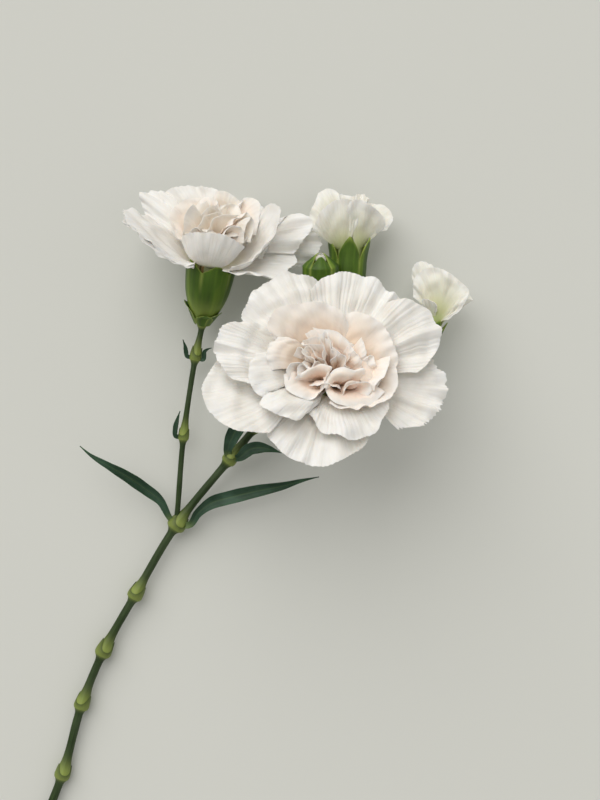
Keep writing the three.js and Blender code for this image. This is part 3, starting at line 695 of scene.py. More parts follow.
petalSizes = {"wall": 0.34, "rim": 0.13, "thinFrom": 0.6, "rows": 48, "columns": 144, "steps": 300,
              "toothShift": 0.012, "pistil": 0.6, "cadWall": 0.5}
petalHabit = {
    "depth": 6, "bend": 1.2, "wave": 0.8, "waves": 7, "claw": 1.5, "hinge": 7, "curl": 8, "curlFrom": 0.55,
    "round": 0.3, "skew": 0.8, "clawMap": 0.2, "pleat": 0.7, "pleats": 3, "fine": 0.15, "frill": 0.45,
    "teeth": 0.4, "toothGap": 1.2, "ragged": 0.6, "crumple": 0.24, "crumples": (4, 12), "folds": (),
}


# The ring that a whorl's feet stand in: inward is 0 against the calyx wall and 1 against the pistil.
def footRing(calyx, inward):
    flat = math.cos(math.pi / 20)
    gap = stemSizes["clearance"] + petalSizes["cadWall"] / 2
    return lerp((calyx["belly"] - calyxSkin["wall"]) * flat - gap, petalSizes["pistil"] + gap, inward)


# How each kind of unevenness grows on fan petals and on cup petals: from which share of the way out to which,
# and its fewest and most waves across, which pleats and the frill count in the petal's own pleats.
fanRuffles = {"pleat": (0.25, 1, 0.6, 1.6), "frill": (0.7, 1.02, 1.8, 3.4), "fine": (0.25, 0.9, 11, 26, 9),
              "crumple": (0.1, 0.6)}
cupRuffles = {"pleat": (0.25, 1, 0.5, 1.6), "frill": (0.75, 1, 2, 4), "fine": (0.2, 0.8, 6, 15, 7),
              "crumple": (0.2, 0.6)}


# How far a petal is raised off its even surface: pleats, a frill at the margin, fine folds and crumpling.
# share is how far out each point lies, v how far across, x and y the same in millimetres.
def ruffled(p, ruffles, rng, share, v, x, y):
    lift = 0
    for kind, power in (("pleat", 1), ("frill", 2)):
        start, end, fewest, most = ruffles[kind]
        waves = randomLine(rng, v, p["pleats"] * fewest, p["pleats"] * most)
        lift = lift + p[kind] * smoothStep(share, start, end) ** power * waves
    start, end, *waves = ruffles["fine"]
    lift = lift + p["fine"] * smoothStep(share, start, end) * randomLine(rng, v, *waves)
    return lift + p["crumple"] * smoothStep(share, *ruffles["crumple"]) * crumpling(rng, x, y, *p["crumples"])


# A fan petal: its claw stands straight in the calyx, then leans out by open degrees over the hinge, and its
# margin leans by curl more. Across, it spreads into a fan of half degrees to either side. It is raised off
# that surface by a slow wave, by its ruffles and by single folds (where across, how wide, how high, from how
# far out), and its margin is cut into small teeth.
def petalGrid(p, foot, rng):
    f = petalSizes
    straight, reach = p["depth"] + p["bend"], p["reach"]
    total = straight + reach
    s = np.linspace(-straight, reach, f["steps"])
    lean = np.radians(p["open"] * smoothStep(s, 0, p["hinge"])
                      + p["curl"] * smoothStep(s, reach * p["curlFrom"], reach))
    step = total / (len(s) - 1)
    add = lambda slope: np.concatenate([[0], np.cumsum((slope[1:] + slope[:-1]) / 2 * step)])
    lineR, lineZ = foot + add(np.sin(lean)), -p["depth"] + add(np.cos(lean))

    u = np.linspace(0, 1, f["rows"] + 1)[:, None] ** 0.85
    v = np.linspace(0, 1, f["columns"] + 1)[None, :]
    side = 2 * v - 1
    half = math.radians(p["half"])
    teethCount = 2 * half * reach / p["toothGap"]
    bite = np.abs(np.sin(np.pi * teethCount * (v + f["toothShift"] * randomLine(rng, v, 3, 9))))
    notch = p["teeth"] * (bite * (0.55 + 0.45 * randomLine(rng, v, 2, 8)) + 0.5 * randomLine(rng, v, 1, 4))
    notch = np.clip(notch, -0.6, 2) + p["ragged"] * randomLine(rng, v, 1.5, 5)
    margin = 1 - (p["round"] * side**2 * reach + notch) / total
    place = u * margin * total - straight
    r, z, leaning = (np.interp(place, s, line) for line in (lineR, lineZ, lean))
    out = np.maximum(0, place) / reach
    fan = lerp(p["claw"] / foot, half, smoothStep(out, 0, 0.7) ** 0.8)
    angle = math.radians(p["turn"]) + side * fan
    lift = p["skew"] * side * smoothStep(out, 0, 0.3) + p["wave"] * out**2 * np.cos(p["waves"] * angle + foot)
    lift = lift + ruffled(p, fanRuffles, rng, out, v, side * half * reach * out, place)
    for where, width, height, start in p["folds"]:
        lift = lift + height * np.exp(-(((side - where) / width) ** 2)) * smoothStep(out, start, start + 0.4)
    radius = r - np.cos(leaning) * lift
    local = np.stack([radius * np.cos(angle), radius * np.sin(angle), z + np.sin(leaning) * lift], axis=-1)
    clawMap = p["clawMap"]
    height = np.where(place > 0, lerp(clawMap, 1, out), clawMap * np.clip(1 + place / straight, 0, 1))
    uv = mapPlaces(side * half * reach / uvUnit + rng.uniform(0, 9), height)
    thickness = lerp(f["wall"], f["rim"], smoothStep(out, f["thinFrom"], 1)) * np.ones_like(angle)
    return local, uv, thickness


def addFanPetal(name, bloom, petal):
    foot = footRing(bloom["calyx"], petal["inward"])
    local, uv, thickness = petalGrid({**petalHabit, **petal}, foot, seededBy(name))
    dress(shellPiece(name + "_blade", fromBloom(bloom, local), thickness, uv), petal["skin"], name)


white, cream, young = "whitePetalTissue", "creamPetalTissue", "youngPetalTissue"
heart, paleHeart = "heartPetalTissue", "paleHeartPetalTissue"
whorls = {
    "front_bloom": {
        "guard": {"skin": white, "inward": 0, "wave": 0.5, "petals": {
            1: {"turn": 126, "reach": 31.5, "half": 42, "open": 82, "pleat": 1, "pleats": 3.5, "frill": 0.7,
                "folds": [(-0.45, 0.1, 1.2, 0.3), (-0.2, 0.09, 1, 0.35), (0.72, 0.12, 1.3, 0.4)]},
            2: {"turn": 199, "reach": 36, "half": 29, "open": 84, "pleat": 0.8, "pleats": 1.6,
                "frill": 0.12, "fine": 0.09, "wave": 0.3, "teeth": 0.35,
                "folds": [(-0.62, 0.05, -0.9, 0.1)]},
            3: {"turn": 247, "reach": 27, "half": 50, "open": 84, "frill": 0.35,
                "folds": [(-0.1, 0.08, 1, 0.3), (0.2, 0.06, -0.8, 0.3), (0.5, 0.1, 0.8, 0.4)]},
            4: {"turn": 354, "reach": 30.8, "half": 34, "open": 82, "pleat": 0.9, "frill": 1.3, "ragged": 1,
                "teeth": 1.4, "folds": [(-0.35, 0.07, 1.4, 0.2)]}}},
        "second": {"skin": white, "inward": 0.25, "bend": 2.6, "wave": 0.4, "petals": {
            1: {"turn": 71, "reach": 30.8, "half": 38, "open": 75, "pleat": 0.45, "pleats": 4, "frill": 0.1,
                "fine": 0.2, "teeth": 0.3, "round": 0.22, "folds": [(-0.4, 0.05, 1.7, 0.2),
                (-0.62, 0.09, -1.4, 0.2), (-0.9, 0.12, 1.2, 0.3)]},
            2: {"turn": 175, "reach": 34.5, "half": 24, "open": 77, "pleat": 1.2, "pleats": 2.5,
                "frill": 0.8, "folds": [(0.1, 0.09, -1.6, 0.5), (-0.55, 0.1, 1.3, 0.5)]},
            3: {"turn": 286, "reach": 21.5, "half": 47, "open": 70, "pleat": 0.5, "pleats": 2,
                "frill": 0.15, "fine": 0.07, "curl": 24},
            4: {"turn": 28, "reach": 33, "half": 28, "open": 66, "pleat": 0.6, "pleats": 1.6, "frill": 0.12,
                "fine": 0.1, "curl": 34, "teeth": 0.3, "skew": 1.6, "folds": [(0.5, 0.35, 2.2, 0.2),
                (-0.15, 0.1, 1.3, 0.25), (-0.5, 0.12, -1, 0.3)]}}},
    },
    "side_bloom": {
        "guard": {"skin": white, "inward": 0, "bend": 1, "petals": {
            3: {"turn": 60, "reach": 26, "half": 35, "open": 66, "frill": 0.6, "teeth": 0.6}}},
        "second": {"skin": white, "inward": 0.26, "bend": 2.6, "wave": 0.6, "petals": {
            3: {"turn": 92, "reach": 23, "half": 34, "open": 56}}},
    },
    "opening_bloom": {
        "inner": {"skin": young, "inward": 0.37, "bend": 5.6, "wave": 0.3, "claw": 1.4, "petals": {
            2: {"turn": 60, "reach": 16, "half": 45, "open": 18, "curl": -4}}},
    },
    "young_bloom": {
        "guard": {"skin": young, "inward": 0, "bend": 2.8, "wave": 0.4, "claw": 1.3, "hinge": 5, "petals": {
            3: {"turn": 20, "reach": 13, "half": 38, "open": 26}}},
    },
    "bud": {
        "tip": {"skin": young, "inward": 0.73, "bend": 1.4, "wave": 0.1, "claw": 1.3, "hinge": 5,
            "pleat": 0.1, "fine": 0.03, "frill": 0.1, "teeth": 0.2, "ragged": 0.1, "crumple": 0.02,
            "petals": {
            1: {"turn": 270, "reach": 2.6, "half": 40, "open": -10, "curl": 0, "skew": 0.1}}},
    },
}

for name, layers in whorls.items():
    for layer, whorl in layers.items():
        for number, petal in whorl["petals"].items():
            addFanPetal(f"{name}_{layer}_petal_{number}", blooms[name], {**whorl, **petal})
    print(name, "fan petals made")


# A cup petal, given by its rim in its bloom's axes: its claw stands on the foot ring at turn and rises to
# bend, and from there every line up the petal is an arc to the rim. out and up say how far out and up the
# arc's pull lies as shares of the way to the rim, and belly pushes the pull outwards. Ruffles are raised
# along the surface's own direction, and lip rolls the margin outwards. The dense hearts have broader pleats.
cupHabit = {
    "foot": 3.0, "bend": 4.2, "claw": 1.3, "out": 0.3, "up": 0.7, "belly": 0.0, "pleat": 0.4, "pleats": 2.4,
    "frill": 0.2, "teeth": 0.25, "toothGap": 1.6, "fine": 0.05, "crumple": 0.17, "crumples": (3.5, 9),
    "lip": 0.0, "lipFrom": 0.72, "rows": 36, "clawRows": 4, "columns": 64, "depth": 6, "clawMap": 0.2,
}
heartHabit = {"pleat": 0.7, "pleats": 1.4, "frill": 0.14, "teeth": 0.12, "toothGap": 2.2,
              "crumple": 0.12, "crumples": (3, 7), "lip": 0.5}


def cupPetalGrid(p, rng):
    rimPath = pathThrough(p["rim"], p["columns"] + 1)
    rim, length = rimPath[0], rimPath[2][-1]
    v = np.linspace(0, 1, p["columns"] + 1)
    turn = math.radians(p["turn"])
    facing = np.array([math.cos(turn), math.sin(turn), 0])
    across = rim[0] - rim[-1]
    hand = 1 if facing[0] * across[1] - facing[1] * across[0] > 0 else -1  # claw and rim run the same way
    angle = turn + hand * (1 - 2 * v) * p["claw"] / p["foot"]
    foot = [p["foot"] * np.cos(angle), p["foot"] * np.sin(angle), np.full_like(v, p["bend"])]
    foot = np.stack(foot, axis=1)
    teeth = length / p["toothGap"]
    bite = np.abs(np.sin(np.pi * teeth * (v + petalSizes["toothShift"] * randomLine(rng, v, 3, 9))))
    notch = p["teeth"] * bite * (0.6 + 0.4 * randomLine(rng, v, 2, 7))
    pull = lerp(foot, rim, p["out"]) + p["belly"] * facing
    pull[:, 2] = lerp(foot[:, 2], rim[:, 2], p["up"])
    reach = np.linalg.norm(rim - foot, axis=1).mean()
    bladeShare = np.linspace(0, 1, p["rows"] + 1)
    t = (bladeShare[:, None] ** 0.9 * (1 - notch / reach))[..., None]
    blade = (1 - t) ** 2 * foot + 2 * t * (1 - t) * pull + t**2 * rim
    down = np.linspace(p["depth"] + p["bend"], 0, p["clawRows"], endpoint=False)[:, None, None] * [0, 0, 1]
    middle = np.concatenate([foot[None] - down, blade])
    normal = unit(np.cross(np.gradient(middle, axis=0), np.gradient(middle, axis=1)))
    share = np.concatenate([np.zeros(p["clawRows"]), bladeShare])[:, None]
    width = (v[None] - 0.5) * length
    lift = ruffled(p, cupRuffles, rng, share, v[None], width * share, share * reach)
    rolled = p["lip"] * smoothStep(share, p["lipFrom"], 1) ** 2
    middle = middle + lift[..., None] * normal + rolled[..., None] * (facing - [0, 0, 0.35])
    clawHeights = np.linspace(0, p["clawMap"], p["clawRows"], endpoint=False)
    heights = np.concatenate([clawHeights, lerp(p["clawMap"], 1, bladeShare)])[:, None]
    uv = mapPlaces(width / uvUnit + rng.uniform(0, 9), heights)
    thin = smoothStep(share, petalSizes["thinFrom"], 1)
    thickness = lerp(petalSizes["wall"], petalSizes["rim"], thin) + 0 * v[None]
    return middle, uv, thickness


def addCupPetal(name, bloom, petal):  # the petals that have a CAD node's name stand for it
    habit = heartHabit if petal["skin"] in (heart, paleHeart) else {}
    middle, uv, thickness = cupPetalGrid({**cupHabit, **habit, **petal}, seededBy(name))
    nodes = [name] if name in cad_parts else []
    dress(shellPiece(name + "_blade", fromBloom(bloom, middle), thickness, uv), petal["skin"], *nodes)


cupPetals = {
    "front_bloom": {"skin": heart, "out": 0.4, "up": 0.5, "petals": {
        "middle_petal_1": {"skin": cream, "turn": 112, "foot": 3.8, "pleat": 0.7, "frill": 0.45,
            "teeth": 0.4, "out": 0.3, "up": 0.7, "rim": [(-16, 5, 11), (-20.5, 9.5, 14), (-18.5, 14, 16),
            (-12.5, 16.5, 16.5), (-6, 17.5, 16.5), (0, 16, 16), (4, 12, 13)]},
        "middle_petal_2": {"skin": cream, "turn": 42, "foot": 3.8, "pleat": 0.7, "frill": 0.45,
            "teeth": 0.4, "out": 0.3, "up": 0.7, "rim": [(-2, 15, 13), (4, 16, 16), (9, 14.5, 16.5),
            (13, 11.5, 16.5), (15.5, 7, 16), (17, 2, 15), (15, -3, 12)]},
        "middle_petal_3": {"skin": white, "turn": 188, "foot": 4, "out": 0.6, "up": 1.45, "pleat": 0.5,
            "frill": 0.4, "rim": [(-16, -6, 9), (-22, -10.5, 11), (-25, -6, 11.5), (-24, 0, 12.5),
            (-19, 4, 12.5)]},
        "middle_petal_4": {"skin": white, "turn": 236, "foot": 4, "out": 0.5, "up": 1.2,
            "rim": [(-17, -7, 9), (-22, -13, 12), (-20.5, -15.5, 12.5), (-15, -17.5, 13),
            (-11.5, -18, 12.5), (-8, -14.5, 11), (-5, -9, 9)]},
        "middle_petal_5": {"skin": cream, "turn": 305, "foot": 4, "up": 0.6, "out": 0.45, "frill": 0.35,
            "rim": [(13, 4, 14), (16.5, 0, 14.5), (16.5, -5.5, 14.5), (14, -10, 14), (9, -12.5, 14),
            (3.5, -13.5, 13.5), (-2.5, -12, 12)]},
        "inner_petal_2": {"skin": cream, "turn": 170, "out": 0.6, "up": 1.4, "frill": 0.3,
            "rim": [(-19, -3.5, 12.5), (-20.5, 1, 14), (-19, 4.5, 14.5), (-15.5, 6, 14.5), (-12.5, 4, 13)]},
        "inner_petal_3": {"turn": 222, "foot": 3.2, "out": 0.62, "up": 1.05, "lip": 0.6,
            "rim": [(-15, -4.5, 14), (-14, -8.5, 12.5), (-10.5, -10.5, 12.5), (-7, -10.8, 12.5),
            (-5, -9.5, 13), (-4.4, -5.5, 13.5)]},
        "inner_petal_4": {"turn": 285, "foot": 3.2, "out": 0.65, "up": 1.1, "lip": 0.6,
            "rim": [(-4.4, -4.5, 13.5), (-3.6, -8, 13), (-2, -10.5, 13), (1, -11.8, 13), (5, -12, 13),
            (9.5, -10.5, 13), (13, -7, 14)]},
        "inner_petal_1": {"turn": 70, "foot": 2.6, "out": 0.3, "up": 0.7, "rim": [(-7.5, 10, 15),
            (-4.5, 8.5, 16.5), (-1.5, 8, 17), (1, 6, 17), (2.5, 3.5, 16.5), (3, 1, 14)]},
        "right_fold": {"turn": 335, "out": 0.5, "rim": [(9.5, -7.5, 14.5), (11, -5, 16.5), (13, -1, 17),
            (14, 3, 16)]},
        "left_wall": {"turn": 195, "out": 0.45, "rim": [(-13, -7.5, 12), (-14, -4, 15), (-12, -1.5, 16),
            (-9.5, -0.5, 15)]},
        "left_fold": {"turn": 205, "foot": 2.4, "up": 0.6, "rim": [(-12, -6, 13), (-11, -3, 15.5),
            (-8.5, -2.5, 15.5), (-6, -1, 16.5)]},
        "twist_1": {"turn": 165, "foot": 1.8, "rim": [(-9.5, 0, 14), (-9, 2.5, 16), (-7, 1.8, 16.5),
            (-5.5, 0, 16), (-4, -1.5, 14.5)]},
        "twist_2": {"turn": 150, "foot": 1.6, "rim": [(-10, 4, 15), (-7, 4, 16.5), (-4.8, 2.8, 16.5),
            (-4, 1, 16), (-4, -1, 14)]},
        "twist_3": {"turn": 135, "foot": 1.8, "rim": [(-10, 5, 14), (-8, 6, 16.5), (-5.5, 5, 16.8),
            (-4, 3, 16)]},
        "heart_petal_1": {"turn": 70, "foot": 1.4, "rim": [(-2.5, 4.5, 16.5), (-1, 2.2, 17),
            (0.8, -0.5, 17), (2.2, -2.8, 16)]},
        "right_spur": {"turn": 35, "foot": 1.8, "rim": [(5.5, 7, 17), (6.5, 4.5, 17), (7.2, 2.2, 16.5),
            (6, 1.2, 14)]},
        "right_scroll": {"turn": 5, "foot": 2, "rim": [(7, 0.5, 15), (8.2, 1.6, 16.5), (10, 0, 15.5),
            (11, -1.5, 13)]},
        "heart_petal_3": {"turn": 275, "foot": 2.4, "belly": 5.4, "up": 1.12, "rim": [(-4.5, -7, 13),
            (-3, -3.5, 15.5), (0, -2.2, 16.3), (3.5, -2.5, 16.3), (6.5, -1.5, 16), (7.5, -3, 14),
            (6.5, -5, 12)]},
        "lower_dome": {"turn": 300, "foot": 2.8, "belly": 3.6, "out": 0.45, "up": 1, "rim": [(1, -8, 12),
            (2.5, -6.5, 15), (5, -5.8, 15.8), (8, -5.5, 15.5), (9, -6.5, 14), (8, -9, 12)]},
        "heart_petal_2": {"turn": 225, "foot": 2.4, "belly": 5.2, "out": 0.5, "up": 1.1,
            "rim": [(-11, -4.5, 13), (-8.5, -2.8, 15.5), (-5.5, -1.5, 16.3), (-2, -2.2, 16.3),
            (-3, -4.5, 15), (-4, -7.5, 13)]},
        "under_petal_1": {"turn": 110, "foot": 2.2, "out": 0.25, "up": 1.9, "lip": 0, "rim": [(-12, 1, 11),
            (-10, 6, 11.5), (-4, 9, 11.5), (3, 8, 11.5), (8, 3, 11.5)]},
        "under_petal_2": {"turn": 350, "foot": 2.2, "out": 0.25, "up": 1.9, "lip": 0, "rim": [(7, 5, 11.8),
            (12, 2, 12), (12.5, -3, 12), (9, -6.5, 11.5)]},
        "throat_fold": {"turn": 240, "foot": 2.4, "out": 0.3, "up": 0.6, "rim": [(-8, -6.5, 13),
            (-5.5, -7, 14.5), (-3.5, -6.5, 14.5), (-1, -7.5, 14), (1, -7, 13)]},
        "twist_6": {"turn": 175, "foot": 1.8, "rim": [(-12.5, 1, 14), (-11.5, 3.2, 15.5), (-10, 2.6, 16),
            (-9.4, 0.6, 16), (-8, -0.4, 15.5), (-7, -2, 14)]},
        "twist_7": {"turn": 120, "foot": 1.8, "out": 0.3, "up": 0.6, "rim": [(-9.5, 7.5, 14.5),
            (-7.5, 8.2, 16.2), (-5.5, 7, 16.6), (-4, 7.6, 16.6), (-2.6, 6.4, 16)]},
        "twist_4": {"turn": 90, "foot": 1.2, "rim": [(-4, 6.5, 16), (-2.5, 5, 16.8), (-3, 3, 16.5),
            (-1.5, 1, 16), (-2.5, -0.5, 15)]},
        "twist_5": {"turn": 20, "foot": 1.2, "rim": [(1.5, 4, 16), (3.5, 3.5, 16.5), (4, 1.5, 16.5),
            (6, 0.5, 16), (6, -1, 14.5)]}}},
    "side_bloom": {"skin": paleHeart, "petals": {
        "left_under_petal": {"skin": white, "turn": 200, "foot": 5.5, "bend": 0.6, "out": 0.35, "up": 0.3,
            "pleat": 0.5, "frill": 0.5, "teeth": 0.6, "rim": [(-5, -9, 2.3), (-10.5, -11.4, 3.4),
            (-17, -12.8, 6.9), (-23, -11.4, 10.4), (-27.4, -6.6, 13.2), (-26, -3, 12.5), (-20, 1, 8)]},
        "guard_petal_1": {"skin": white, "turn": 196, "foot": 5.5, "bend": 1, "up": 0.45, "pleat": 0.7,
            "frill": 0.9, "teeth": 0.9, "rim": [(-5, -9, 2.5), (-11, -11, 4), (-17.5, -12, 7.5),
            (-24, -10, 11), (-28, -5, 14), (-27.5, 0, 14.5), (-22.5, 5, 11), (-15, 8, 7), (-8, 7, 3.5)]},
        "guard_petal_4": {"skin": white, "turn": 115, "foot": 5.5, "bend": 1, "pleat": 0.8, "frill": 0.5,
            "teeth": 0.5, "rim": [(-16, 11, 9), (-18, 15, 15.5), (-13, 15, 18.5), (-9, 15, 19.5),
            (-6, 14, 20), (-2.5, 13, 20.5), (1, 11, 17)]},
        "second_petal_1": {"skin": white, "turn": 155, "foot": 4.2, "bend": 2.6, "pleat": 1, "frill": 0.6,
            "teeth": 0.5, "rim": [(-17, 5, 5), (-23, 12, 10), (-24.5, 15, 14.5), (-21.5, 16, 16),
            (-18, 16, 15.5), (-13, 14, 12)]},
        "guard_petal_2": {"skin": white, "turn": 335, "foot": 5.5, "bend": 1, "up": 0.5, "pleat": 0.8,
            "fine": 0.12, "teeth": 0.4, "rim": [(3.5, -9, 2.8), (9, -10, 2.5), (16, -10, 3.5),
            (22, -7, 4.5), (25, -4, 7), (24.5, 1, 8), (19, 4, 6)]},
        "second_petal_2": {"skin": white, "turn": 15, "foot": 4.2, "bend": 2.6, "pleat": 1, "frill": 0.5,
            "fine": 0.12, "teeth": 0.5, "rim": [(15, -3, 6), (18, 4, 14.5), (21.5, 8, 17.5), (26, 8, 18.5),
            (28.5, 6, 17), (27, 2, 13), (24, -1, 9)]},
        "right_guard_petal": {"skin": white, "turn": 30, "foot": 5.2, "bend": 1.6, "pleat": 0.9,
            "frill": 0.6, "teeth": 0.6, "rim": [(23, 1, 2.5), (29.5, 4, 5.5), (32.5, 6, 10.5),
            (31.5, 8, 12.5), (28.5, 9, 13.5), (23, 10, 11)]},
        "middle_petal_1": {"skin": white, "turn": 262, "foot": 4.4, "fine": 0.02, "bend": 1.2, "out": 0.6,
            "up": 0.25, "belly": 3.4, "rim": [(-10, -5, 9.5), (-7.5, -8, 12.5), (-3, -10, 14),
            (2, -10.5, 14.5), (6, -9.5, 13), (9, -7, 10.5)]},
        "middle_petal_2": {"skin": white, "turn": 320, "foot": 4.4, "bend": 1.4, "out": 0.6, "up": 0.3,
            "belly": 2.5, "rim": [(6, -9, 4.5), (11, -9, 7), (15, -7, 12), (18, -4, 18), (17.5, -1, 22),
            (15, 1, 22.5), (12.5, 2, 20), (11.5, 1, 15)]},
        "middle_petal_3": {"skin": cream, "turn": 150, "foot": 3.6, "bend": 3, "rim": [(-11, 0, 7),
            (-14.5, 3, 12), (-14, 5, 14.5), (-11.5, 7, 16.5), (-8, 8, 18), (-4, 8, 18)]},
        "inner_petal_1": {"turn": 225, "foot": 2.4, "bend": 4, "rim": [(-9.3, -4, 9.5), (-9.2, -4, 16),
            (-8, -3, 19.5), (-6.5, -2, 17), (-5, -2, 14)]},
        "inner_petal_3": {"turn": 80, "foot": 2.4, "bend": 4, "rim": [(-3, 3, 16), (-1.8, 5, 22),
            (1, 6, 22), (4.5, 6, 20.5), (7.5, 5, 18.5)]},
        "inner_petal_2": {"skin": heart, "turn": 0, "foot": 2.4, "bend": 4, "rim": [(5.5, 3, 18),
            (6, 4, 21.5), (9, 5, 22), (11, 4, 21), (11.5, 1, 17.5), (11.5, -2, 13)]},
        "heart_fold_1": {"turn": 200, "foot": 1.6, "rim": [(-5.5, -3, 15.5), (-4, -2, 18), (-2, -1, 19.5),
            (0, 0, 18.7), (1, 1, 17.5)]},
        "heart_fold_2": {"turn": 260, "foot": 1.8, "rim": [(-2.5, -6, 12), (-2, -5, 16.5), (1, -4, 18),
            (3, -3, 18.5), (6, -3, 18.5)]},
        "heart_fold_3": {"skin": heart, "turn": 300, "foot": 2.2, "rim": [(2, -7, 12.5), (3, -6.5, 15),
            (7, -6, 16), (8.5, -7, 12)]},
        "heart_fold_4": {"turn": 330, "foot": 2.2, "rim": [(8, -6, 11), (8, -5, 18), (9, -4, 19.2),
            (10.5, -5, 15), (10.5, -6, 12)]},
        "heart_fold_5": {"turn": 40, "foot": 1.6, "rim": [(-1, 2, 18), (1.5, 1, 20), (4, 2, 20), (6, 0, 19),
            (7, -2, 17)]},
        "heart_fold_6": {"skin": heart, "turn": 130, "foot": 1.6, "rim": [(-7, 3, 17), (-5, 5, 19.5),
            (-2, 4, 20), (0, 2, 19)]},
        "heart_fold_7": {"turn": 200, "foot": 1.6, "rim": [(-6.5, -1, 15), (-5.5, 1, 18.5),
            (-3.5, 2.5, 19.5), (-2.5, 1, 18.5), (-1, 2.5, 19.5)]},
        "heart_fold_8": {"turn": 250, "foot": 1.8, "lip": 0.6, "rim": [(-5.5, -5, 13), (-4.5, -4, 16),
            (-2.5, -3.5, 17.5), (-0.5, -2, 18.5), (1.5, -2.5, 18)]},
        "heart_fold_9": {"skin": heart, "turn": 290, "foot": 1.8, "lip": 0.6, "rim": [(3, -5, 15),
            (4.5, -3, 17.5), (6.5, -2.5, 18.5), (8, -1, 19.5), (9.5, -1.5, 18)]},
        "front_fold_1": {"turn": 262, "foot": 2.8, "bend": 2.5, "rim": [(-4.5, -6.2, 10.5),
            (-2, -7.4, 12.5), (3, -7.4, 13), (6, -6.4, 11.5)]},
        "front_fold_2": {"skin": heart, "turn": 215, "foot": 2.6, "bend": 2.5, "rim": [(-8.8, -2.5, 9.5),
            (-8, -5, 12), (-5, -5.8, 13), (-3, -5, 12.5)]},
        "front_fold_3": {"turn": 310, "foot": 2.6, "bend": 2.5, "rim": [(4.5, -6.4, 11), (7, -6.6, 12),
            (9.5, -5, 12.5), (10.5, -2.5, 12)]},
        "back_fold_1": {"skin": heart, "turn": 55, "foot": 2.2, "rim": [(3, 6, 13.5), (5, 7.5, 16),
            (8, 6.5, 16.5), (9.5, 3.5, 15)]},
        "back_fold_2": {"turn": 95, "foot": 2.2, "rim": [(-3.5, 7.5, 13.5), (-1, 8.5, 16.5), (2, 8, 17),
            (4.5, 7, 15)]},
        "back_fold_3": {"skin": heart, "turn": 135, "foot": 2.2, "rim": [(-8.5, 4.5, 13), (-7, 7, 15.5),
            (-4, 7.5, 16.5), (-2, 6, 15)]},
        "back_fold_4": {"turn": 90, "foot": 1.4, "rim": [(-4, 3, 15), (-2, 5, 18), (1, 3.5, 18.5),
            (3.5, 5, 18), (6, 3, 16.5)]},
        "under_petal": {"turn": 270, "foot": 2, "up": 1.2, "rim": [(-6, -2, 13), (-3, -5, 12.5),
            (2, -6, 12.5), (7, -4.5, 12.5), (10, -1, 13)]}}},
    "opening_bloom": {"skin": young, "bend": 5, "petals": {
        "guard_petal_1": {"turn": 240, "foot": 4, "bend": 3.5, "out": 0.4, "up": 0.4, "belly": 1,
            "rim": [(-11, -3, 9), (-9.5, -6, 14), (-5, -7, 18), (-1, -6.5, 18.5), (1.5, -5.2, 17.5),
            (3, -4.2, 13)]},
        "guard_petal_2": {"turn": 320, "foot": 4, "bend": 4, "up": 0.5, "rim": [(-2, -5.5, 12),
            (-0.5, -6.5, 17.8), (2.5, -6.5, 18.5), (7, -4, 16.5), (10, -1, 14), (10.5, 1, 11),
            (8, 1, 8.5)]},
        "inner_petal_1": {"turn": 175, "foot": 2.9, "bend": 4.5, "rim": [(-11, 1, 9), (-12.5, 3, 13.5),
            (-11, 4, 17.5), (-9.5, 5, 21), (-7, 6, 22.5), (-4, 6, 21.5), (-3, 4, 18)]},
        "guard_petal_3": {"turn": 70, "foot": 4, "bend": 4.5, "pleat": 0.5, "frill": 0.4,
            "rim": [(-5, 5, 17), (-3, 6, 21), (0, 7, 20), (3, 7, 19), (7, 7, 18.5), (11, 6, 17.5),
            (13.5, 4, 14), (11.5, 3, 10)]},
        "core_petal_1": {"turn": 10, "foot": 1.6, "rim": [(2, -3.5, 14), (4, -2.5, 17), (4.5, 0.5, 17.5),
            (3, 3, 17), (0.5, 4, 14)]},
        "core_petal_2": {"turn": 190, "foot": 1.6, "rim": [(-1, 3.5, 14), (-4, 2.5, 17), (-5, -0.5, 17.5),
            (-3.5, -3, 17), (-1, -4, 14)]},
        "core_petal_3": {"turn": 95, "foot": 1, "rim": [(-3, 0, 14), (-1, 1.5, 17), (1, -0.5, 17.5),
            (3, 0.5, 16)]}}},
    "young_bloom": {"skin": young, "bend": 2.8, "petals": {
        "guard_petal_2": {"turn": 145, "foot": 2.9, "rim": [(-9, 3, 9), (-12, 4, 13.5), (-12, 5, 16.5),
            (-10.5, 6, 18), (-7.5, 6, 18), (-5, 6, 17)]},
        "guard_petal_1": {"turn": 270, "foot": 2.9, "pleat": 0.45, "pleats": 5, "rim": [(-9, -1, 7),
            (-11, -1, 12), (-10, -1.5, 15.5), (-6.5, -2, 18), (-2.5, -3, 18.2), (2, -4, 17),
            (5.5, -5, 15.5), (5.5, -5.5, 12.5), (5, -5, 8.5), (3, -4.5, 5)]},
        "core_petal_1": {"turn": 95, "foot": 1.4, "bend": 3.5, "rim": [(-5.5, 1.5, 11), (-3, 3.2, 14.5),
            (1, 3.4, 15), (4, 1.5, 12)]},
        "core_petal_2": {"turn": 200, "foot": 1, "bend": 3.5, "rim": [(-3, 1, 11), (-3.5, -0.5, 14),
            (-1, 0.5, 14.8), (1.5, -0.5, 14.5), (2.5, 0.5, 12)]},
        "curled_petal": {"turn": 235, "foot": 2.2, "bend": 2, "depth": 5, "rim": [(-5.5, -3.5, 5.5),
            (-6.5, -4.5, 7.5), (-4.7, -5.5, 8.3), (-2.2, -5.5, 8.3), (-1.5, -4, 6.5)]}}},
    "bud": {"skin": young, "foot": 1.5, "bend": 0.8, "claw": 1, "depth": 4, "belly": 1.2, "pleat": 0.05,
        "frill": 0.05, "crumple": 0.03, "teeth": 0.1, "petals": {
        "folded_petal_1": {"turn": 100, "rim": [(-1.9, 0.4, 2.2), (-1.1, -0.2, 3.5), (0.2, 0.2, 3.8),
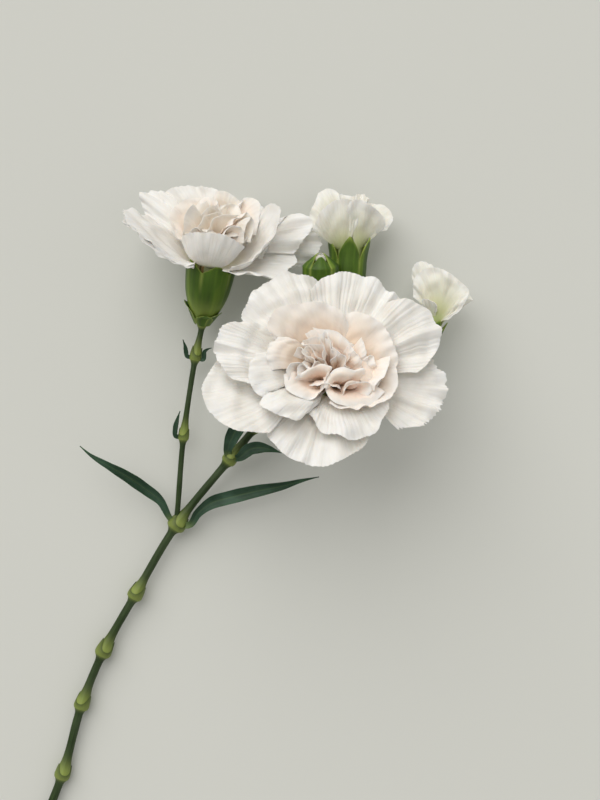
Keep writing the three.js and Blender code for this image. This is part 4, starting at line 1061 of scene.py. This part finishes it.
            (1.3, -0.3, 3.4), (1.9, 0.2, 2.2)]},
        "folded_petal_2": {"turn": 280, "rim": [(-1.7, -0.8, 2.1), (-0.7, -0.5, 3.4), (0.5, -1, 3.5),
            (1.6, -0.6, 2.3)]}}},
}

for name, layer in cupPetals.items():
    for label, petal in layer["petals"].items():
        addCupPetal(f"{name}_{label}", blooms[name], {**layer, **petal})
print("cup petals made")

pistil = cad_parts["front_bloom_pistil"]
pistil.data.materials.clear()
pistil.data.materials.append(materials["pistilTissue"])


# Camera, table and light

camera = {"lens": 60, "sensor": 36, "height": 420}
cameraData = bpy.data.cameras.new("camera")
cameraData.lens, cameraData.sensor_width = camera["lens"], camera["sensor"]
cameraObject = bpy.data.objects.new("camera", cameraData)
cameraObject.location = Vector((placeShift + [0, 0, camera["height"]]) * millimetre)
bpy.context.scene.collection.objects.link(cameraObject)
bpy.context.scene.camera = cameraObject

tableSize = 40  # metres
tableMaterial, tree = newMaterial("paintedTable")  # matt pale paint on board, with a faint roller texture
roller = noise(tree, addNode(tree, "TexCoord").outputs["Object"], 700.0, 2.0)
finishMaterial(tree, {"Base Color": linear("#d6d8d3"), "Roughness": 0.75},
               {"Normal": raised(tree, roller, 0.05, 0.0001)})
bpy.ops.mesh.primitive_plane_add(size=tableSize)
table = bpy.context.object
table.name = "table"
table.data.materials.append(tableMaterial)

# Two suns as wide as window panes, so that the light is even over the table: where each stands, how wide in
# degrees, how strong, and the soft light from the room all round
lights = {
    "window": {"place": (-0.35, 0.75, 0.85), "spread": 66, "power": 2.05, "colour": "#fffcf7"},
    "fill": {"place": (0.8, -0.6, 0.9), "spread": 80, "power": 0.2, "colour": "#fbf8f2"},
}
room = {"colour": "#f6f4f0", "strength": 0.42}
for name, light in lights.items():
    data = bpy.data.lights.new(name, "SUN")
    data.energy, data.angle = light["power"], math.radians(light["spread"])
    data.color = linear(light["colour"])[:3]
    lamp = bpy.data.objects.new(name, data)
    lamp.location = light["place"]
    lamp.rotation_euler = (-lamp.location).to_track_quat("-Z", "Y").to_euler()
    bpy.context.scene.collection.objects.link(lamp)
world = bpy.data.worlds.new("studio")
bpy.context.scene.world = world
world.use_nodes = True
background = world.node_tree.nodes["Background"].inputs
background[0].default_value, background[1].default_value = linear(room["colour"]), room["strength"]
bpy.context.scene.view_settings.view_transform = "Standard"
print("camera, table and lights made")
